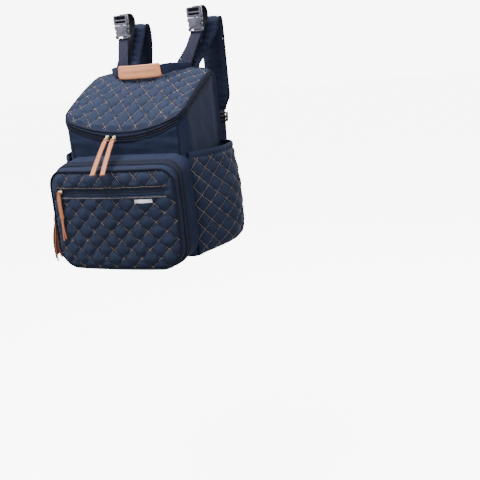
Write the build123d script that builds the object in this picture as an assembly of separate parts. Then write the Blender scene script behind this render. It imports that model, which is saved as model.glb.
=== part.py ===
from build123d import *
from math import acos, asin, atan2, cos, degrees, radians, sin, sqrt, tan
import os

# A quilted diaper backpack hung on a pushchair's handlebar by its two stroller straps.
# Everything is designed in the bag's own axes: X to the right, Y to the back, Z up,
# from the middle of the body's front bottom edge.  export_all() then moves the origin
# to the handlebar's axis, which is where the bag is held.

# ---- Driving dimensions, in millimetres -------------------------------------------------
FABRIC = 3.0  # padded outer fabric
WEB = 1.6  # webbing thickness
WEB_W = 25.0  # webbing width
GAP = 0.4  # room between parts that move past each other

BODY_W = 284.0
BODY_D = 170.0
BODY_FRONT_R = 20.0
BODY_BACK_R = 10.0
CROWN_Z = 385.0  # top of the back panel, at its middle
SHOULDER_Z = 362.0  # top of the back panel, at its sides
REAR_BAND_Y = 151.5  # the lid ends here and the fixed rear band starts

SEAM_FRONT_Z = 254.0  # lid zip at the middle of the front
SEAM_R = 287.0  # the zip sags in an arc of this radius
SEAM_RISE = 24.6  # and climbs to the back at this angle
LID_HINGE_Y = 150.0
LID_HINGE_Z = 389.0
LID_SECTIONS = ((-8, 308, 259), (72, 341, 340), (152, 369, 387))  # y, side z, middle z
ZIP_HALF = 7.0  # height of one zip tape
TAPE = 1.4

POCKET_W = 289.0
POCKET_TOP_BACK = 220.0
POCKET_TOP_SLOPE = 16.5 / 72  # the pocket's top falls towards its face
POCKET_R_TOP = 32.0
POCKET_R_BOTTOM = 46.0
POCKET_SPLIT_Y = -46.0  # the zip round the pocket
FACE_Y = -84.0  # foremost line of the quilted face
FACE_R = 880.0  # plan radius of the face
FACE_ZIP_Z = 158.0
FACE_ZIP_H = 15.0
FACE_ZIP_W = 246.0

SIDE_POCKET_TOP = 219.0
SIDE_POCKET_HEM = 9.0

BAR_Y = 205.0  # the handlebar's axis
BAR_Z = 487.0
BAR_R = 17.0
ROOT_X = 77.0  # stroller straps leave the bag's top edge here
ROOT_Z = 382.5
LOOP_X = {"left": -78.0, "right": 104.0}
SIDES = {"left": -1, "right": 1}

BUCKLE_W = 34.0
BUCKLE_T = 9.0
BUCKLE_Y = 182.0
BUCKLE_BOTTOM = 452.0
BUCKLE_SPLIT = 481.0
BUCKLE_TOP = 503.0

STRAP_W = 56.0
STRAP_T = 12.0
STRAP_END_X = {"left": -95.0, "right": 108.0}
GLIDE_Z = 262.0
GLIDE_Y = 248.0
ANCHOR = (130.0, 175.5, 36.0)

GRIP_W = 100.0
HANDLE_Y = 95.0
HANDLE_Z = 381.0
HANDLE_X = 97.0

made = {}


def keep(name, solid):
    made[name] = solid


# ---- Helpers ----------------------------------------------------------------------------
def along_y(sketch, y_from, y_to):
    """A front-view sketch, given in X and Z, swept from one Y to another."""
    return extrude(Plane.XZ.offset(-y_to) * sketch, amount=y_to - y_from)


def along_x(sketch, x_from, x_to):
    """A side-view sketch, given in Y and Z, swept from one X to another."""
    return extrude(Plane.YZ.offset(x_from) * sketch, amount=x_to - x_from)


def along_z(sketch, z_from, z_to):
    return extrude(Pos(0, 0, z_from) * sketch, amount=z_to - z_from)


def block(x, y, z):
    """A box from three (low, high) pairs."""
    size = [high - low for low, high in (x, y, z)]
    centre = [(high + low) / 2 for low, high in (x, y, z)]
    return Pos(*centre) * Box(*size)


def ribbon(centres, across, width, thickness):
    """A flat band through a list of points. Its width lies along one fixed direction."""
    across = Vector(*across).normalized()
    centres = [Vector(*c) for c in centres]
    sections = []
    for i, c in enumerate(centres):
        run = centres[min(i + 1, len(centres) - 1)] - centres[max(i - 1, 0)]
        out = run.cross(across).normalized() * (thickness / 2)
        side = across * (width / 2)
        corners = [c + side + out, c - side + out, c - side - out, c + side - out]
        sections.append(Face(Wire.make_polygon(corners, close=True)))
    return loft(sections, ruled=True)


def bezier(points, count):
    """Evenly spaced points of a cubic curve with four control points."""
    a, b, c, d = [Vector(*p) for p in points]
    out = []
    for i in range(count + 1):
        t = i / count
        s = 1 - t
        p = a * s**3 + b * (3 * s * s * t) + c * (3 * s * t * t) + d * t**3
        out.append((p.X, p.Y, p.Z))
    return out


# ---- Outlines ---------------------------------------------------------------------------
def plan(grow=0.0):
    """The body in plan, grown or shrunk by an offset."""
    w, d = BODY_W + 2 * grow, BODY_D + 2 * grow
    flat = Pos(0, BODY_D / 2) * Rectangle(w, d)
    flat = fillet(flat.vertices().group_by(Axis.Y)[0], BODY_FRONT_R + grow)
    return fillet(flat.vertices().group_by(Axis.Y)[-1], BODY_BACK_R + grow)


def above_seam(lift=0.0):
    """All the space above the lid's zip, which sags in an arc and climbs to the back."""
    start = -60.0
    low = SEAM_FRONT_Z + lift + start * tan(radians(SEAM_RISE))
    arch = Pos(0, low + SEAM_R) * Circle(SEAM_R)
    arch += Pos(0, low + SEAM_R + 150) * Rectangle(2 * SEAM_R, 300)
    climb = (0, cos(radians(SEAM_RISE)), sin(radians(SEAM_RISE)))
    length = 300 / cos(radians(SEAM_RISE))
    return extrude(Plane.XZ.offset(-start) * arch, amount=length, dir=climb)


def crown(inset=0.0):
    """Front view of the back panel: straight sides under a shallow arch."""
    half = BODY_W / 2 - inset
    side, top = SHOULDER_Z - inset, CROWN_Z - inset
    edge = Polyline((-half, side), (-half, inset), (half, inset), (half, side))
    edge += ThreePointArc((half, side), (0, top), (-half, side))
    flat = make_face(edge)
    return fillet(flat.vertices().group_by(Axis.Y)[-1], 20 - inset)


def pocket_outline(y, grow=0.0):
    """Front view of the front pocket at a depth."""
    top = POCKET_TOP_BACK + y * POCKET_TOP_SLOPE + grow
    flat = Pos(0, (top - grow) / 2) * Rectangle(POCKET_W + 2 * grow, top + grow)
    flat = fillet(flat.vertices().group_by(Axis.Y)[-1], POCKET_R_TOP + grow)
    return fillet(flat.vertices().group_by(Axis.Y)[0], POCKET_R_BOTTOM + grow)


def pocket_block(grow=0.0):
    """The front pocket as one block, past its face."""
    ends = [Plane.XZ.offset(-y) * pocket_outline(y, grow) for y in (-GAP, -95.0)]
    return loft(ends, ruled=True)


def face_cylinder(inset=0.0):
    """The upright cylinder that the pocket's bowed face lies on."""
    return Pos(0, FACE_Y + FACE_R, 110) * Cylinder(FACE_R - inset, 400)


def side_pocket_outline(bulge, inset=0.0):
    """Plan of a side pocket, flat on the body and full towards the back."""
    x = BODY_W / 2 + 0.4 + (inset and 0.6)
    low, high = 5 + inset, 165 - inset
    reach = bulge - inset
    bow = Bezier(
        (x, low), (x + 0.8 * reach, low + 12), (x + 1.75 * reach, high - 12), (x, high)
    )
    return make_face(bow + Line((x, high), (x, low)))


# ---- Body -------------------------------------------------------------------------------
def build_body():
    seam = above_seam()
    wall = along_z(plan(), FABRIC + 0.1, 420) - along_z(plan(-FABRIC), 0, 421)
    wall -= seam
    front = block((-126, 126), (-1, 20), (0, 400))
    keep("front_panel", wall & front)
    for side, sign in SIDES.items():
        x = sorted((sign * 126, sign * 150))
        keep(f"side_panel_{side}", wall & block(x, (-1, REAR_BAND_Y), (0, 400)))
    back_y = BODY_D - FABRIC
    keep("back_panel", along_y(crown(), back_y, BODY_D))
    rear = along_y(crown(), REAR_BAND_Y, back_y) - along_y(crown(FABRIC), 0, 200)
    keep("rear_band", rear - block((-200, 200), (0, 200), (-1, FABRIC + 0.1)))
    keep("base_panel", along_z(plan(), 0, FABRIC) & block((-200, 200), (-1, 166.9), (0, 9)))
    keep("base_board", along_z(offset(plan(), -11, kind=Kind.ARC), 5.4, 7.4))
    lining = along_z(plan(-FABRIC - 0.4), FABRIC + 0.5, 420)
    lining -= along_z(plan(-FABRIC - 1.4), FABRIC + 1.5, 421)
    under = along_y(crown(FABRIC + 0.5), -10, 200)
    keep("main_lining", (lining - above_seam(-2)) & under)
    keep("inner_pocket", block((-110, 110), (157.5, 158.7), (20, 200)))
    pad = along_y(Pos(0, 195) * RectangleRounded(210, 290, 30), BODY_D + 0.2, BODY_D + 9)
    keep("back_pad", pad)


def zip_band(low, high):
    """A zip tape round the front and sides of the body, between two heights of the seam."""
    ring = along_z(plan(TAPE + 0.1), 200, 420) - along_z(plan(0.1), 199, 421)
    ring &= block((-200, 200), (-20, REAR_BAND_Y - 3.5), (200, 420))
    return (ring & above_seam(low)) - above_seam(high)


def lid_block(drop=0.0):
    """The lid's swelling top: it sags at the front and is crowned at the back."""
    sections = []
    for y, side, middle in LID_SECTIONS:
        half = 160
        edge = Polyline((-half, side - drop), (-half, 200), (half, 200), (half, side - drop))
        edge += ThreePointArc((half, side - drop), (0, middle - drop), (-half, side - drop))
        sections.append(Plane.XZ.offset(-y) * make_face(edge))
    return loft(sections)


def build_lid():
    stop = LID_HINGE_Y - 0.7
    inside = block((-200, 200), (-20, stop), (200, 420))
    outer = lid_block() & along_z(plan(), 210, 420) & inside
    inner = lid_block(FABRIC) & along_z(plan(-FABRIC), 209, 421)
    keep("lid_panel", (outer - inner) & above_seam(GAP))
    skin = lid_block(FABRIC + 0.4) & along_z(plan(-FABRIC - 0.4), 210, 420) & inside
    hollow = lid_block(FABRIC + 1.4) & along_z(plan(-FABRIC - 1.4), 209, 421)
    keep("lid_lining", (skin - hollow) & above_seam(GAP + 1))
    keep("lid_zip_tape", zip_band(GAP, ZIP_HALF))
    keep("body_zip_tape", zip_band(-ZIP_HALF, -GAP))


# ---- Front pocket -----------------------------------------------------------------------
def build_front_pocket():
    shell = pocket_block() - pocket_block(-FABRIC)
    fixed = block((-200, 200), (POCKET_SPLIT_Y + 0.2, 0), (-10, 300))
    swings = block((-200, 200), (-100, POCKET_SPLIT_Y - 0.2), (-10, 300))
    keep("pocket_gusset_rear", shell & fixed)
    keep("flap_gusset", shell & swings & face_cylinder(FABRIC + 0.1))
    tape = pocket_block(TAPE) - pocket_block(0.1)
    above = block((-200, 200), (-100, 0), (28, 300))
    rear_strip = block((-200, 200), (POCKET_SPLIT_Y + 0.3, POCKET_SPLIT_Y + 6), (28, 300))
    front_strip = block((-200, 200), (POCKET_SPLIT_Y - 6, POCKET_SPLIT_Y - 0.3), (28, 300))
    keep("pocket_zip_tape_rear", tape & above & rear_strip)
    keep("flap_zip_tape", tape & above & front_strip)

    skin = face_cylinder() - face_cylinder(FABRIC)
    nearby = block((-200, 200), (-100, -60), (-10, 300))
    half_h = FACE_ZIP_H / 2
    slot = block(
        (-FACE_ZIP_W / 2, FACE_ZIP_W / 2), (-100, -60), (FACE_ZIP_Z - half_h, FACE_ZIP_Z + half_h)
    )
    face = skin & pocket_block(-0.6) & nearby
    keep("flap_panel", face - slot)
    tape_skin = face_cylinder(0.4) - face_cylinder(2.0)
    room = 0.3
    tape_box = block(
        (-FACE_ZIP_W / 2 + room, FACE_ZIP_W / 2 - room),
        (-100, -60),
        (FACE_ZIP_Z - half_h + room, FACE_ZIP_Z + half_h - room),
    )
    keep("front_zip_tape", tape_skin & tape_box)
    welt = face_cylinder(-1.4) - face_cylinder(FABRIC)
    keep("flap_piping", (welt & nearby & pocket_block(2.2)) - pocket_block(-0.5))
    lining = face_cylinder(FABRIC + 8) - face_cylinder(FABRIC + 9)
    keep("flap_lining", lining & pocket_block(-FABRIC - 0.3) & nearby)
    plate = face_cylinder(-1.0) - face_cylinder(-0.1)
    keep("label", plate & block((60, 98), (-100, -60), (136.5, 143.5)))


# ---- Side pockets -----------------------------------------------------------------------
def side_pocket_block(inset=0.0):
    levels = ((12, 30), (50, 55), (130, 59), (SIDE_POCKET_TOP, 48))
    low = inset and 3.0
    return loft(
        [Pos(0, 0, z + (low if z < 50 else 0)) * side_pocket_outline(b, inset) for z, b in levels]
    )


def build_side_pockets():
    shell = side_pocket_block() - side_pocket_block(FABRIC)
    top = SIDE_POCKET_TOP - SIDE_POCKET_HEM
    hem_zone = block((100, 250), (-20, 200), (top, 300))
    body_zone = block((100, 250), (-20, 200), (0, top - 0.1))
    inside = block((100, BODY_W / 2 + 0.4), (-20, 200), (0, 300))
    for side, sign in SIDES.items():
        pocket = (shell & body_zone) - inside
        hem = (shell & hem_zone) - inside
        if sign < 0:
            pocket, hem = mirror(pocket, Plane.YZ), mirror(hem, Plane.YZ)
        keep(f"side_pocket_{side}", pocket)
        keep(f"side_pocket_hem_{side}", hem)


# ---- Straps -----------------------------------------------------------------------------
def on_bar(angle, radius, x):
    """A point round the bar. The angle is 0 at the front and 90 at the top."""
    a = radians(angle)
    return (x, BAR_Y - radius * cos(a), BAR_Z + radius * sin(a))


def tangent_angle(y, z, radius, past):
    """Where a straight run from a point meets the bar, before or past the point's side."""
    dy, dz = BAR_Y - y, z - BAR_Z
    reach = degrees(acos(radius / sqrt(dy * dy + dz * dz)))
    return degrees(atan2(dz, dy)) + (reach if past else -reach)


def build_stroller_strap(side, sign):
    x = LOOP_X[side]
    middle = BAR_R + WEB / 2
    slot = (181.8, 495.9)
    root = (168.3, ROOT_Z)
    first = tangent_angle(*slot, middle, True)
    last = tangent_angle(*root, middle, False) + 360
    ring = Circle(BAR_R + WEB) - Circle(BAR_R)
    band = along_x(Pos(BAR_Y, BAR_Z) * ring, x - WEB_W / 2, x + WEB_W / 2)
    reach = 60.0
    wedge = [(BAR_Y, BAR_Z)]
    steps = 6
    for i in range(steps + 1):
        point = on_bar(first + (last - first) * i / steps, reach, x)
        wedge.append(point[1:])
    band &= along_x(make_face(Polyline(*wedge, close=True)), x - 30, x + 30)
    head = ribbon([on_bar(first, middle, x), (x, *slot)], (1, 0, 0), WEB_W, WEB)
    tail = ribbon([on_bar(last, middle, x), (sign * ROOT_X, *root)], (1, 0, 0), WEB_W, WEB)
    keep(f"stroller_loop_{side}", band + head + tail)
    low = (sign * ROOT_X, 164.3, ROOT_Z)
    high = (x, BUCKLE_Y, BUCKLE_BOTTOM - 0.6)
    keep(f"stroller_webbing_{side}", ribbon([low, high], (1, 0, 0), WEB_W, WEB))


def build_buckle(side):
    """A side-release buckle: a socket below, a plug with a webbing ladder above."""
    x = LOOP_X[side]
    half = BUCKLE_W / 2
    y = (BUCKLE_Y - BUCKLE_T / 2, BUCKLE_Y + BUCKLE_T / 2)
    core = (BUCKLE_Y - 2.7, BUCKLE_Y + 2.7)
    socket = block((x - half, x + half), y, (BUCKLE_BOTTOM, BUCKLE_SPLIT - 0.2))
    socket = fillet(socket.edges().filter_by(Axis.Y), 2.5)
    socket -= block((x - 14.6, x + 14.6), core, (BUCKLE_BOTTOM + 5.5, BUCKLE_SPLIT))
    socket -= block((x - 20, x + 20), core, (BUCKLE_BOTTOM + 7, BUCKLE_BOTTOM + 21))
    socket -= block((x - 13.2, x + 13.2), (100, 300), (BUCKLE_BOTTOM + 2.2, BUCKLE_BOTTOM + 4.4))
    keep(f"buckle_socket_{side}", socket)

    plug = block((x - half, x + half), y, (BUCKLE_SPLIT + 0.2, BUCKLE_TOP))
    plug = fillet(plug.edges().filter_by(Axis.Y), 2.5)
    for low, high in ((486.0, 490.5), (493.5, 500.3)):
        plug -= block((x - 13.2, x + 13.2), (100, 300), (low, high))
    tongue = block((x - 2.5, x + 2.5), (180.2, 183.8), (460, BUCKLE_SPLIT + 1))
    keep(f"buckle_plug_{side}", plug + tongue)

    shape = ((8.6, 480.2), (8.6, 462), (11, 459.4), (14, 459.4), (16.4, 463), (16.6, 468))
    shape += ((12.4, 473), (11.6, 480.2))
    for prong, sign in (("inner", -1), ("outer", 1)):
        points = [(x + sign * px, pz) for px, pz in shape]
        arm = along_y(make_face(Polyline(*points, close=True)), BUCKLE_Y - 2.2, BUCKLE_Y + 2.2)
        keep(f"buckle_prong_{side}_{prong}", arm)


def build_shoulder_strap(side, sign):
    root, top, end = sign * ROOT_X, LOOP_X[side] + 1, STRAP_END_X[side]
    leg_up = [(root, 177.5, 362), (root, 178.5, 384)]
    leg_up += [(root + (top - root) * t, 178.5 + 46 * t, 384 + 66 * t) for t in (0.3, 0.65, 1)]
    turn = []
    for angle in (20, 55, 90, 125, 160):
        a = radians(angle)
        turn.append((top, 248 - 12.5 * cos(a), 466 + 12.5 * sin(a)))
    leg_down = [(top + (end - top) * t, 260 - 8 * t, 440 - 166 * t) for t in (0, 0.5, 1)]
    path = leg_up + turn + leg_down
    keep(f"shoulder_strap_{side}", ribbon(path, (1, 0, 0), STRAP_W, STRAP_T))

    bottom = (sign * ANCHOR[0], ANCHOR[1], ANCHOR[2])
    up = (end, GLIDE_Y + 3.3, GLIDE_Z + 9.5)
    path = bezier([up, (end, GLIDE_Y - 3, GLIDE_Z - 85), (bottom[0], 185, 90), bottom], 10)
    # The stretch that the adjuster slides on is straight.
    run = Vector(*path[3]) - Vector(*path[0])
    path[1] = tuple(Vector(*path[0]) + run * (1 / 3))
    path[2] = tuple(Vector(*path[0]) + run * (2 / 3))
    keep(f"strap_webbing_{side}", ribbon(path, (1, 0, 0), WEB_W, WEB))
    x = sign * ANCHOR[0]
    tab = Polyline((x - 16, 26), (x + 11, 26), (x + 11, 52), (x - 16, 40), close=True)
    keep(f"strap_anchor_{side}", along_y(make_face(tab), BODY_D + 0.3, BODY_D + 2.6))
    return run.normalized(), Vector(*path[0])


def build_adjuster(side, run, start):
    """A three-bar slide. The webbing passes between its middle bar and its end bars."""
    across = Vector(1, 0, 0)
    flat = Plane(origin=start + run * 12, x_dir=across, z_dir=run.cross(across))
    frame = flat * Box(36, 21, 6)
    frame -= flat * Box(28.4, 22, 2.8)
    for shift in (-4.9, 4.9):
        frame -= flat * Pos(0, shift, 2) * Box(28.4, 4.0, 6)
    frame -= flat * Pos(0, 0, -2) * Box(28.4, 13.8, 6)
    keep(f"adjuster_{side}", frame)


# ---- Carry handle -----------------------------------------------------------------------
def handle_path(reach):
    """The handle in plan, from one side to the other, out to a share of its half width."""
    count = 14
    out = []
    for i in range(count + 1):
        t = (2 * i / count - 1) * reach
        x = HANDLE_X * t
        rise = abs(t) ** 3
        out.append((x, HANDLE_Y + (LID_HINGE_Y - HANDLE_Y) * rise, HANDLE_Z + 10 * rise))
    return out


def build_handle():
    up = (0, 0, 1)
    keep("handle_webbing", ribbon(handle_path(1.0), up, 21, 3))
    share = GRIP_W / 2 / HANDLE_X
    sleeve = ribbon(handle_path(share), up, 29, 9)
    keep("handle_grip", sleeve - ribbon(handle_path(share * 1.1), up, 22.4, 4.4))


# ---- Sliders and pulls ------------------------------------------------------------------
def build_lid_sliders():
    """Two sliders side by side on the sagging zip, each with a leather pull."""
    centre_z = SEAM_FRONT_Z + SEAM_R
    for side, x, end_x in (("left", -36.0, -7.0), ("right", -20.0, 16.0)):
        angle = degrees(asin(x / SEAM_R))
        body = block((-4.5, 4.5), (-7.5, -1.8), (-6, 6))
        body = fillet(body.edges().filter_by(Axis.Y), 2.0)
        turn = Pos(0, 0, centre_z) * Rot(0, -angle, 0) * Pos(0, 0, -SEAM_R)
        keep(f"lid_slider_{side}", turn * body)
        z = centre_z - sqrt(SEAM_R**2 - x * x)
        start = Vector(x, -10.5, z + 1)
        end = Vector(end_x, -121.0, 200.0)
        strip = ribbon([start, end], (1, 0, 0), 10.5, 3.0)
        keep(f"lid_pull_{side}", strip)


def build_face_slider():
    x = -118.0
    angle = degrees(asin(x / FACE_R))
    turn = Pos(0, FACE_Y + FACE_R, FACE_ZIP_Z + 3) * Rot(0, 0, angle) * Pos(0, -FACE_R, 0)
    body = block((-6, 6), (-6.5, -0.6), (-5, 5))
    body = fillet(body.edges().filter_by(Axis.Y), 2.0)
    keep("face_slider", turn * body)
    strip = block((-5, 5), (-10.0, -7.0), (-104, 1))
    keep("face_pull", turn * fillet(strip.edges().filter_by(Axis.Y), 1.0))


def build_pocket_sliders():
    """Two sliders on the left of the zip round the pocket, each with a leather tassel."""
    face = -POCKET_W / 2 - TAPE
    for name, z, y_shift in (("upper", 124.0, -4.0), ("lower", 106.0, -16.0)):
        y = POCKET_SPLIT_Y
        body = block((face - 5.5, face - GAP), (y - 5, y + 5), (z - 6, z + 6))
        body = fillet(body.edges().filter_by(Axis.X), 2.0)
        keep(f"pocket_slider_{name}", body)
        lane = y + y_shift
        length = 108.0 if name == "upper" else 98.0
        strip = block((face - 25.0, face - 6.2), (lane - 2.5, lane + 2.5), (z - length, z + 1))
        keep(f"pocket_tassel_{name}", fillet(strip.edges().filter_by(Axis.X), 2.0))


def export_all():
    os.makedirs("parts", exist_ok=True)
    to_bar = Pos(0, -BAR_Y, -BAR_Z)
    for name, solid in made.items():
        export_step(Compound(children=list((to_bar * solid).solids())), f"parts/{name}.step")


build_body()
build_lid()
build_front_pocket()
build_side_pockets()
for strap_side, strap_sign in SIDES.items():
    build_stroller_strap(strap_side, strap_sign)
    build_buckle(strap_side)
    web_run, web_start = build_shoulder_strap(strap_side, strap_sign)
    build_adjuster(strap_side, web_run, web_start)
    print("adjuster", strap_side, "slides along", tuple(web_run))
build_handle()
build_lid_sliders()
build_face_slider()
build_pocket_sliders()
export_all()
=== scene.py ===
"""A quilted diaper backpack on its stroller straps: the looks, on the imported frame.

Lengths are millimetres in the bag's own axes (X right, Y back, Z up, from the middle of the
body's front bottom edge) until row() turns them into metres from the handlebar's axis.
"""

from math import asin, cos, degrees, pi, radians, sin, sqrt, tan

import bmesh
import bpy
import numpy as np
from mathutils import Matrix, Vector


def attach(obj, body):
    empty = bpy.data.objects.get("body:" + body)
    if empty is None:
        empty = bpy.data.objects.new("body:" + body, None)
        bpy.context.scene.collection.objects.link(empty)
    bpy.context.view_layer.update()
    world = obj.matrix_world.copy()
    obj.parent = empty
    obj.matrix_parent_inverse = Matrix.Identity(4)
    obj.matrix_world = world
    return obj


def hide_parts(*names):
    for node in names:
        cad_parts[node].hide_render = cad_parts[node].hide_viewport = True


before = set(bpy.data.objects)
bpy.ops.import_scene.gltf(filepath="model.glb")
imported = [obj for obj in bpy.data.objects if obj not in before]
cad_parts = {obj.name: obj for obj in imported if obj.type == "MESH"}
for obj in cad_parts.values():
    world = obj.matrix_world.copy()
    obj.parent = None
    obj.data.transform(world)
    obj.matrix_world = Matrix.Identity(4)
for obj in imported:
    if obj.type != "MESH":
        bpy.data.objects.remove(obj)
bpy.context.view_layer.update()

# ---- The design's own dimensions --------------------------------------------------------
BAR_Y, BAR_Z, BAR_R = 205.0, 487.0, 17.0
HALF, DEPTH = 142.0, 170.0
FRONT_R = 20.0
WALL = 3.0
SEAM_Z, SEAM_R, SEAM_RISE = 254.0, 287.0, tan(radians(24.6))
LID_END, LID_SLANT = 149.3, 0.78
LID_SECTIONS = ((-8, 308, 259), (72, 341, 340), (152, 369, 387))
SHOULDER_Z, CROWN_Z = 362.0, 385.0
POCKET_HALF, POCKET_TOP, POCKET_SLOPE = 144.5, 220.0, 16.5 / 72
POCKET_R_TOP, POCKET_R_BOTTOM = 32.0, 46.0
SPLIT_Y, FACE_Y, FACE_R = -46.0, -84.0, 880.0
ZIP_Z, ZIP_H, ZIP_W = 158.0, 15.0, 246.0
SIDE_TOP, HEM, SIDE_RUN = 219.0, 9.0, 180
ROOT_X, ROOT_Z = 77.0, 382.5
ANCHOR_X = 130.0
LOOP_X = {"left": -78.0, "right": 104.0}
STRAP_END_X = {"left": -95.0, "right": 108.0}
SIDES = {"left": -1, "right": 1}
BUCKLE_Y = 182.0
WEB, WEB_W = 1.6, 25.0
GRIP_W, HANDLE_X, HANDLE_Y, HANDLE_Z = 100.0, 97.0, 95.0, 381.0
HINGE_Y = 150.0


# ---- Mesh helpers -----------------------------------------------------------------------
def row(points):
    """Bag axes in millimetres to the row frame in metres."""
    return (np.asarray(points, float) - (0, BAR_Y, BAR_Z)) / 1000


def unit(v):
    return v / np.maximum(np.linalg.norm(v, axis=-1, keepdims=True), 1e-9)


def ripple(p, q, size, seed):
    """Smooth wandering relief from -1 to 1, the same each run."""
    rng = np.random.default_rng(seed)
    total = 0
    for _ in range(7):
        angle, phase = rng.uniform(0, 2 * pi, 2)
        wave = 2 * pi / (size * rng.uniform(0.7, 1.6))
        total = total + np.sin(wave * (p * cos(angle) + q * sin(angle)) + phase)
    return total / 4


def distances(line):
    """How far along a line each of its points lies."""
    return np.concatenate([[0], np.cumsum(np.linalg.norm(np.diff(line, axis=0), axis=1))])


def read_off(data, run, at):
    """Rows of data, one for each point of a line, at distances along it."""
    return np.stack([np.interp(at, run, data[:, k]) for k in range(3)], -1)


def fade(x):
    x = np.clip(x, 0, 1)
    return x * x * (3 - 2 * x)


def build(name, points, faces, materials, cloth=None, tone=None, slots=None, angle=55):
    """A mesh object from points in bag axes, with its surface coordinates stored in metres."""
    data = bpy.data.meshes.new(name)
    points = np.asarray(points, float).reshape(-1, 3)
    data.from_pydata(row(points).tolist(), [], [list(map(int, f)) for f in faces])
    if not isinstance(materials, (list, tuple)):
        materials = [materials]
    for material in materials:
        data.materials.append(material)
    if slots is not None:
        data.polygons.foreach_set("material_index", np.asarray(slots, np.int32))
    data.polygons.foreach_set("use_smooth", np.ones(len(data.polygons), bool))
    data.set_sharp_from_angle(angle=radians(angle))
    if cloth is None:
        cloth = points[:, [0, 2, 1]]
    layer = data.attributes.new("cloth", "FLOAT_VECTOR", "POINT")
    layer.data.foreach_set("vector", (np.asarray(cloth, float).reshape(-1, 3) / 1000).ravel())
    layer = data.attributes.new("tone", "FLOAT", "POINT")
    tone = np.full(len(points), 0.5) if tone is None else np.asarray(tone, float).ravel()
    layer.data.foreach_set("value", tone)
    data.update()
    obj = bpy.data.objects.new(name, data)
    bpy.context.scene.collection.objects.link(obj)
    return obj


def quads(nu, nv, wrap_u=False, wrap_v=False):
    i = np.arange(nu if wrap_u else nu - 1)
    j = np.arange(nv if wrap_v else nv - 1)
    i, j = np.meshgrid(i, j, indexing="ij")
    i2, j2 = (i + 1) % nu, (j + 1) % nv
    return np.stack([i * nv + j, i2 * nv + j, i2 * nv + j2, i * nv + j2], -1).reshape(-1, 4)


def slope(grid, axis, wrap):
    if wrap:
        return np.roll(grid, -1, axis) - np.roll(grid, 1, axis)
    return np.gradient(grid, axis=axis)


def normals(grid, wrap_u=False):
    return unit(np.cross(slope(grid, 0, wrap_u), slope(grid, 1, False)))


def shell(name, grid, thick, materials, cloth, tone=None, wrap_u=False, flip=False):
    """A sheet of fabric with thickness: its outer side is the grid, its inner side lies behind."""
    nu, nv = grid.shape[:2]
    out = normals(grid, wrap_u) * (-1 if flip else 1)
    inner = grid - out * thick
    n = nu * nv
    top = quads(nu, nv, wrap_u)
    back = top[:, ::-1] + n
    edge = []
    for j in (0, nv - 1):
        count = nu if wrap_u else nu - 1
        a = np.arange(count) * nv + j
        b = ((np.arange(count) + 1) % nu) * nv + j
        strip = np.stack([a, b, b + n, a + n], -1)
        edge.append(strip if j else strip[:, ::-1])
    if not wrap_u:
        for i in (0, nu - 1):
            a = i * nv + np.arange(nv - 1)
            strip = np.stack([a, a + 1, a + 1 + n, a + n], -1)
            edge.append(strip[:, ::-1] if i else strip)
    edge = np.concatenate(edge)
    faces = np.concatenate([top, back, edge])
    if flip:
        faces = faces[:, ::-1]
    slots = np.zeros(len(faces), int)
    if isinstance(materials, (list, tuple)) and len(materials) > 1:
        slots[len(top) : len(top) + len(back)] = 1
    points = np.concatenate([grid.reshape(-1, 3), inner.reshape(-1, 3)])
    cloth = np.concatenate([cloth.reshape(-1, 3)] * 2)
    if tone is not None:
        tone = np.concatenate([tone.ravel(), np.full(n, 0.5)])
    return build(name, points, faces, materials, cloth, tone, slots)


def flat_coords(p, q):
    return np.stack([p, q, np.zeros_like(p)], -1)


def curve(points, count, closed=False):
    """A smooth line through a few points, resampled at even spacing."""
    pts = [np.asarray(p, float) for p in points]
    if closed:
        pts = pts + pts[:1]
        ends = [pts[-2], *pts, pts[1]]
    else:
        ends = [2 * pts[0] - pts[1], *pts, 2 * pts[-1] - pts[-2]]
    fine = []
    for a, b, c, d in zip(ends, ends[1:], ends[2:], ends[3:]):
        t = np.linspace(0, 1, 24, endpoint=False)[:, None]
        fine.append(
            0.5
            * (2 * b + (c - a) * t + (2 * a - 5 * b + 4 * c - d) * t**2 + (3 * b - a - 3 * c + d) * t**3)
        )
    fine.append(ends[-2][None])
    return even(np.concatenate(fine), count, closed)


def even(line, count, closed=False):
    """A dense line resampled to a number of evenly spaced points."""
    line = np.asarray(line, float)
    run = distances(line)
    want = np.linspace(0, run[-1], count + 1)[:-1] if closed else np.linspace(0, run[-1], count)
    return np.stack([np.interp(want, run, line[:, k]) for k in range(3)], -1)


def length_of(line):
    return float(np.linalg.norm(np.diff(line, axis=0), axis=1).sum())


def tangents(line, closed=False):
    if closed:
        return unit(np.roll(line, -1, 0) - np.roll(line, 1, 0))
    return unit(np.gradient(line, axis=0))


def sweep(name, line, across, section, material, closed=False, tone=None, angle=55):
    """A section, given across and outwards, swept along a line. It may change on the way."""
    n = len(line)
    across = np.broadcast_to(unit(np.asarray(across, float)), (n, 3))
    along = tangents(line, closed)
    out = unit(np.cross(along, across))
    across = unit(np.cross(out, along))
    section = np.broadcast_to(section, (n,) + np.shape(section)[-2:])
    m = section.shape[1]
    grid = line[:, None] + section[..., :1] * across[:, None] + section[..., 1:] * out[:, None]
    faces = [list(f) for f in quads(n, m, closed, True)]
    if not closed:
        faces.append(list(range(m)))
        faces.append(list(range((n - 1) * m, n * m))[::-1])
    run = distances(line)
    cloth = np.stack([section[..., 0], np.repeat(run[:, None], m, 1), section[..., 1]], -1)
    if tone is not None:
        tone = np.broadcast_to(tone, (n, m))
    return build(name, grid, faces, material, cloth, tone, angle=angle)


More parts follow.
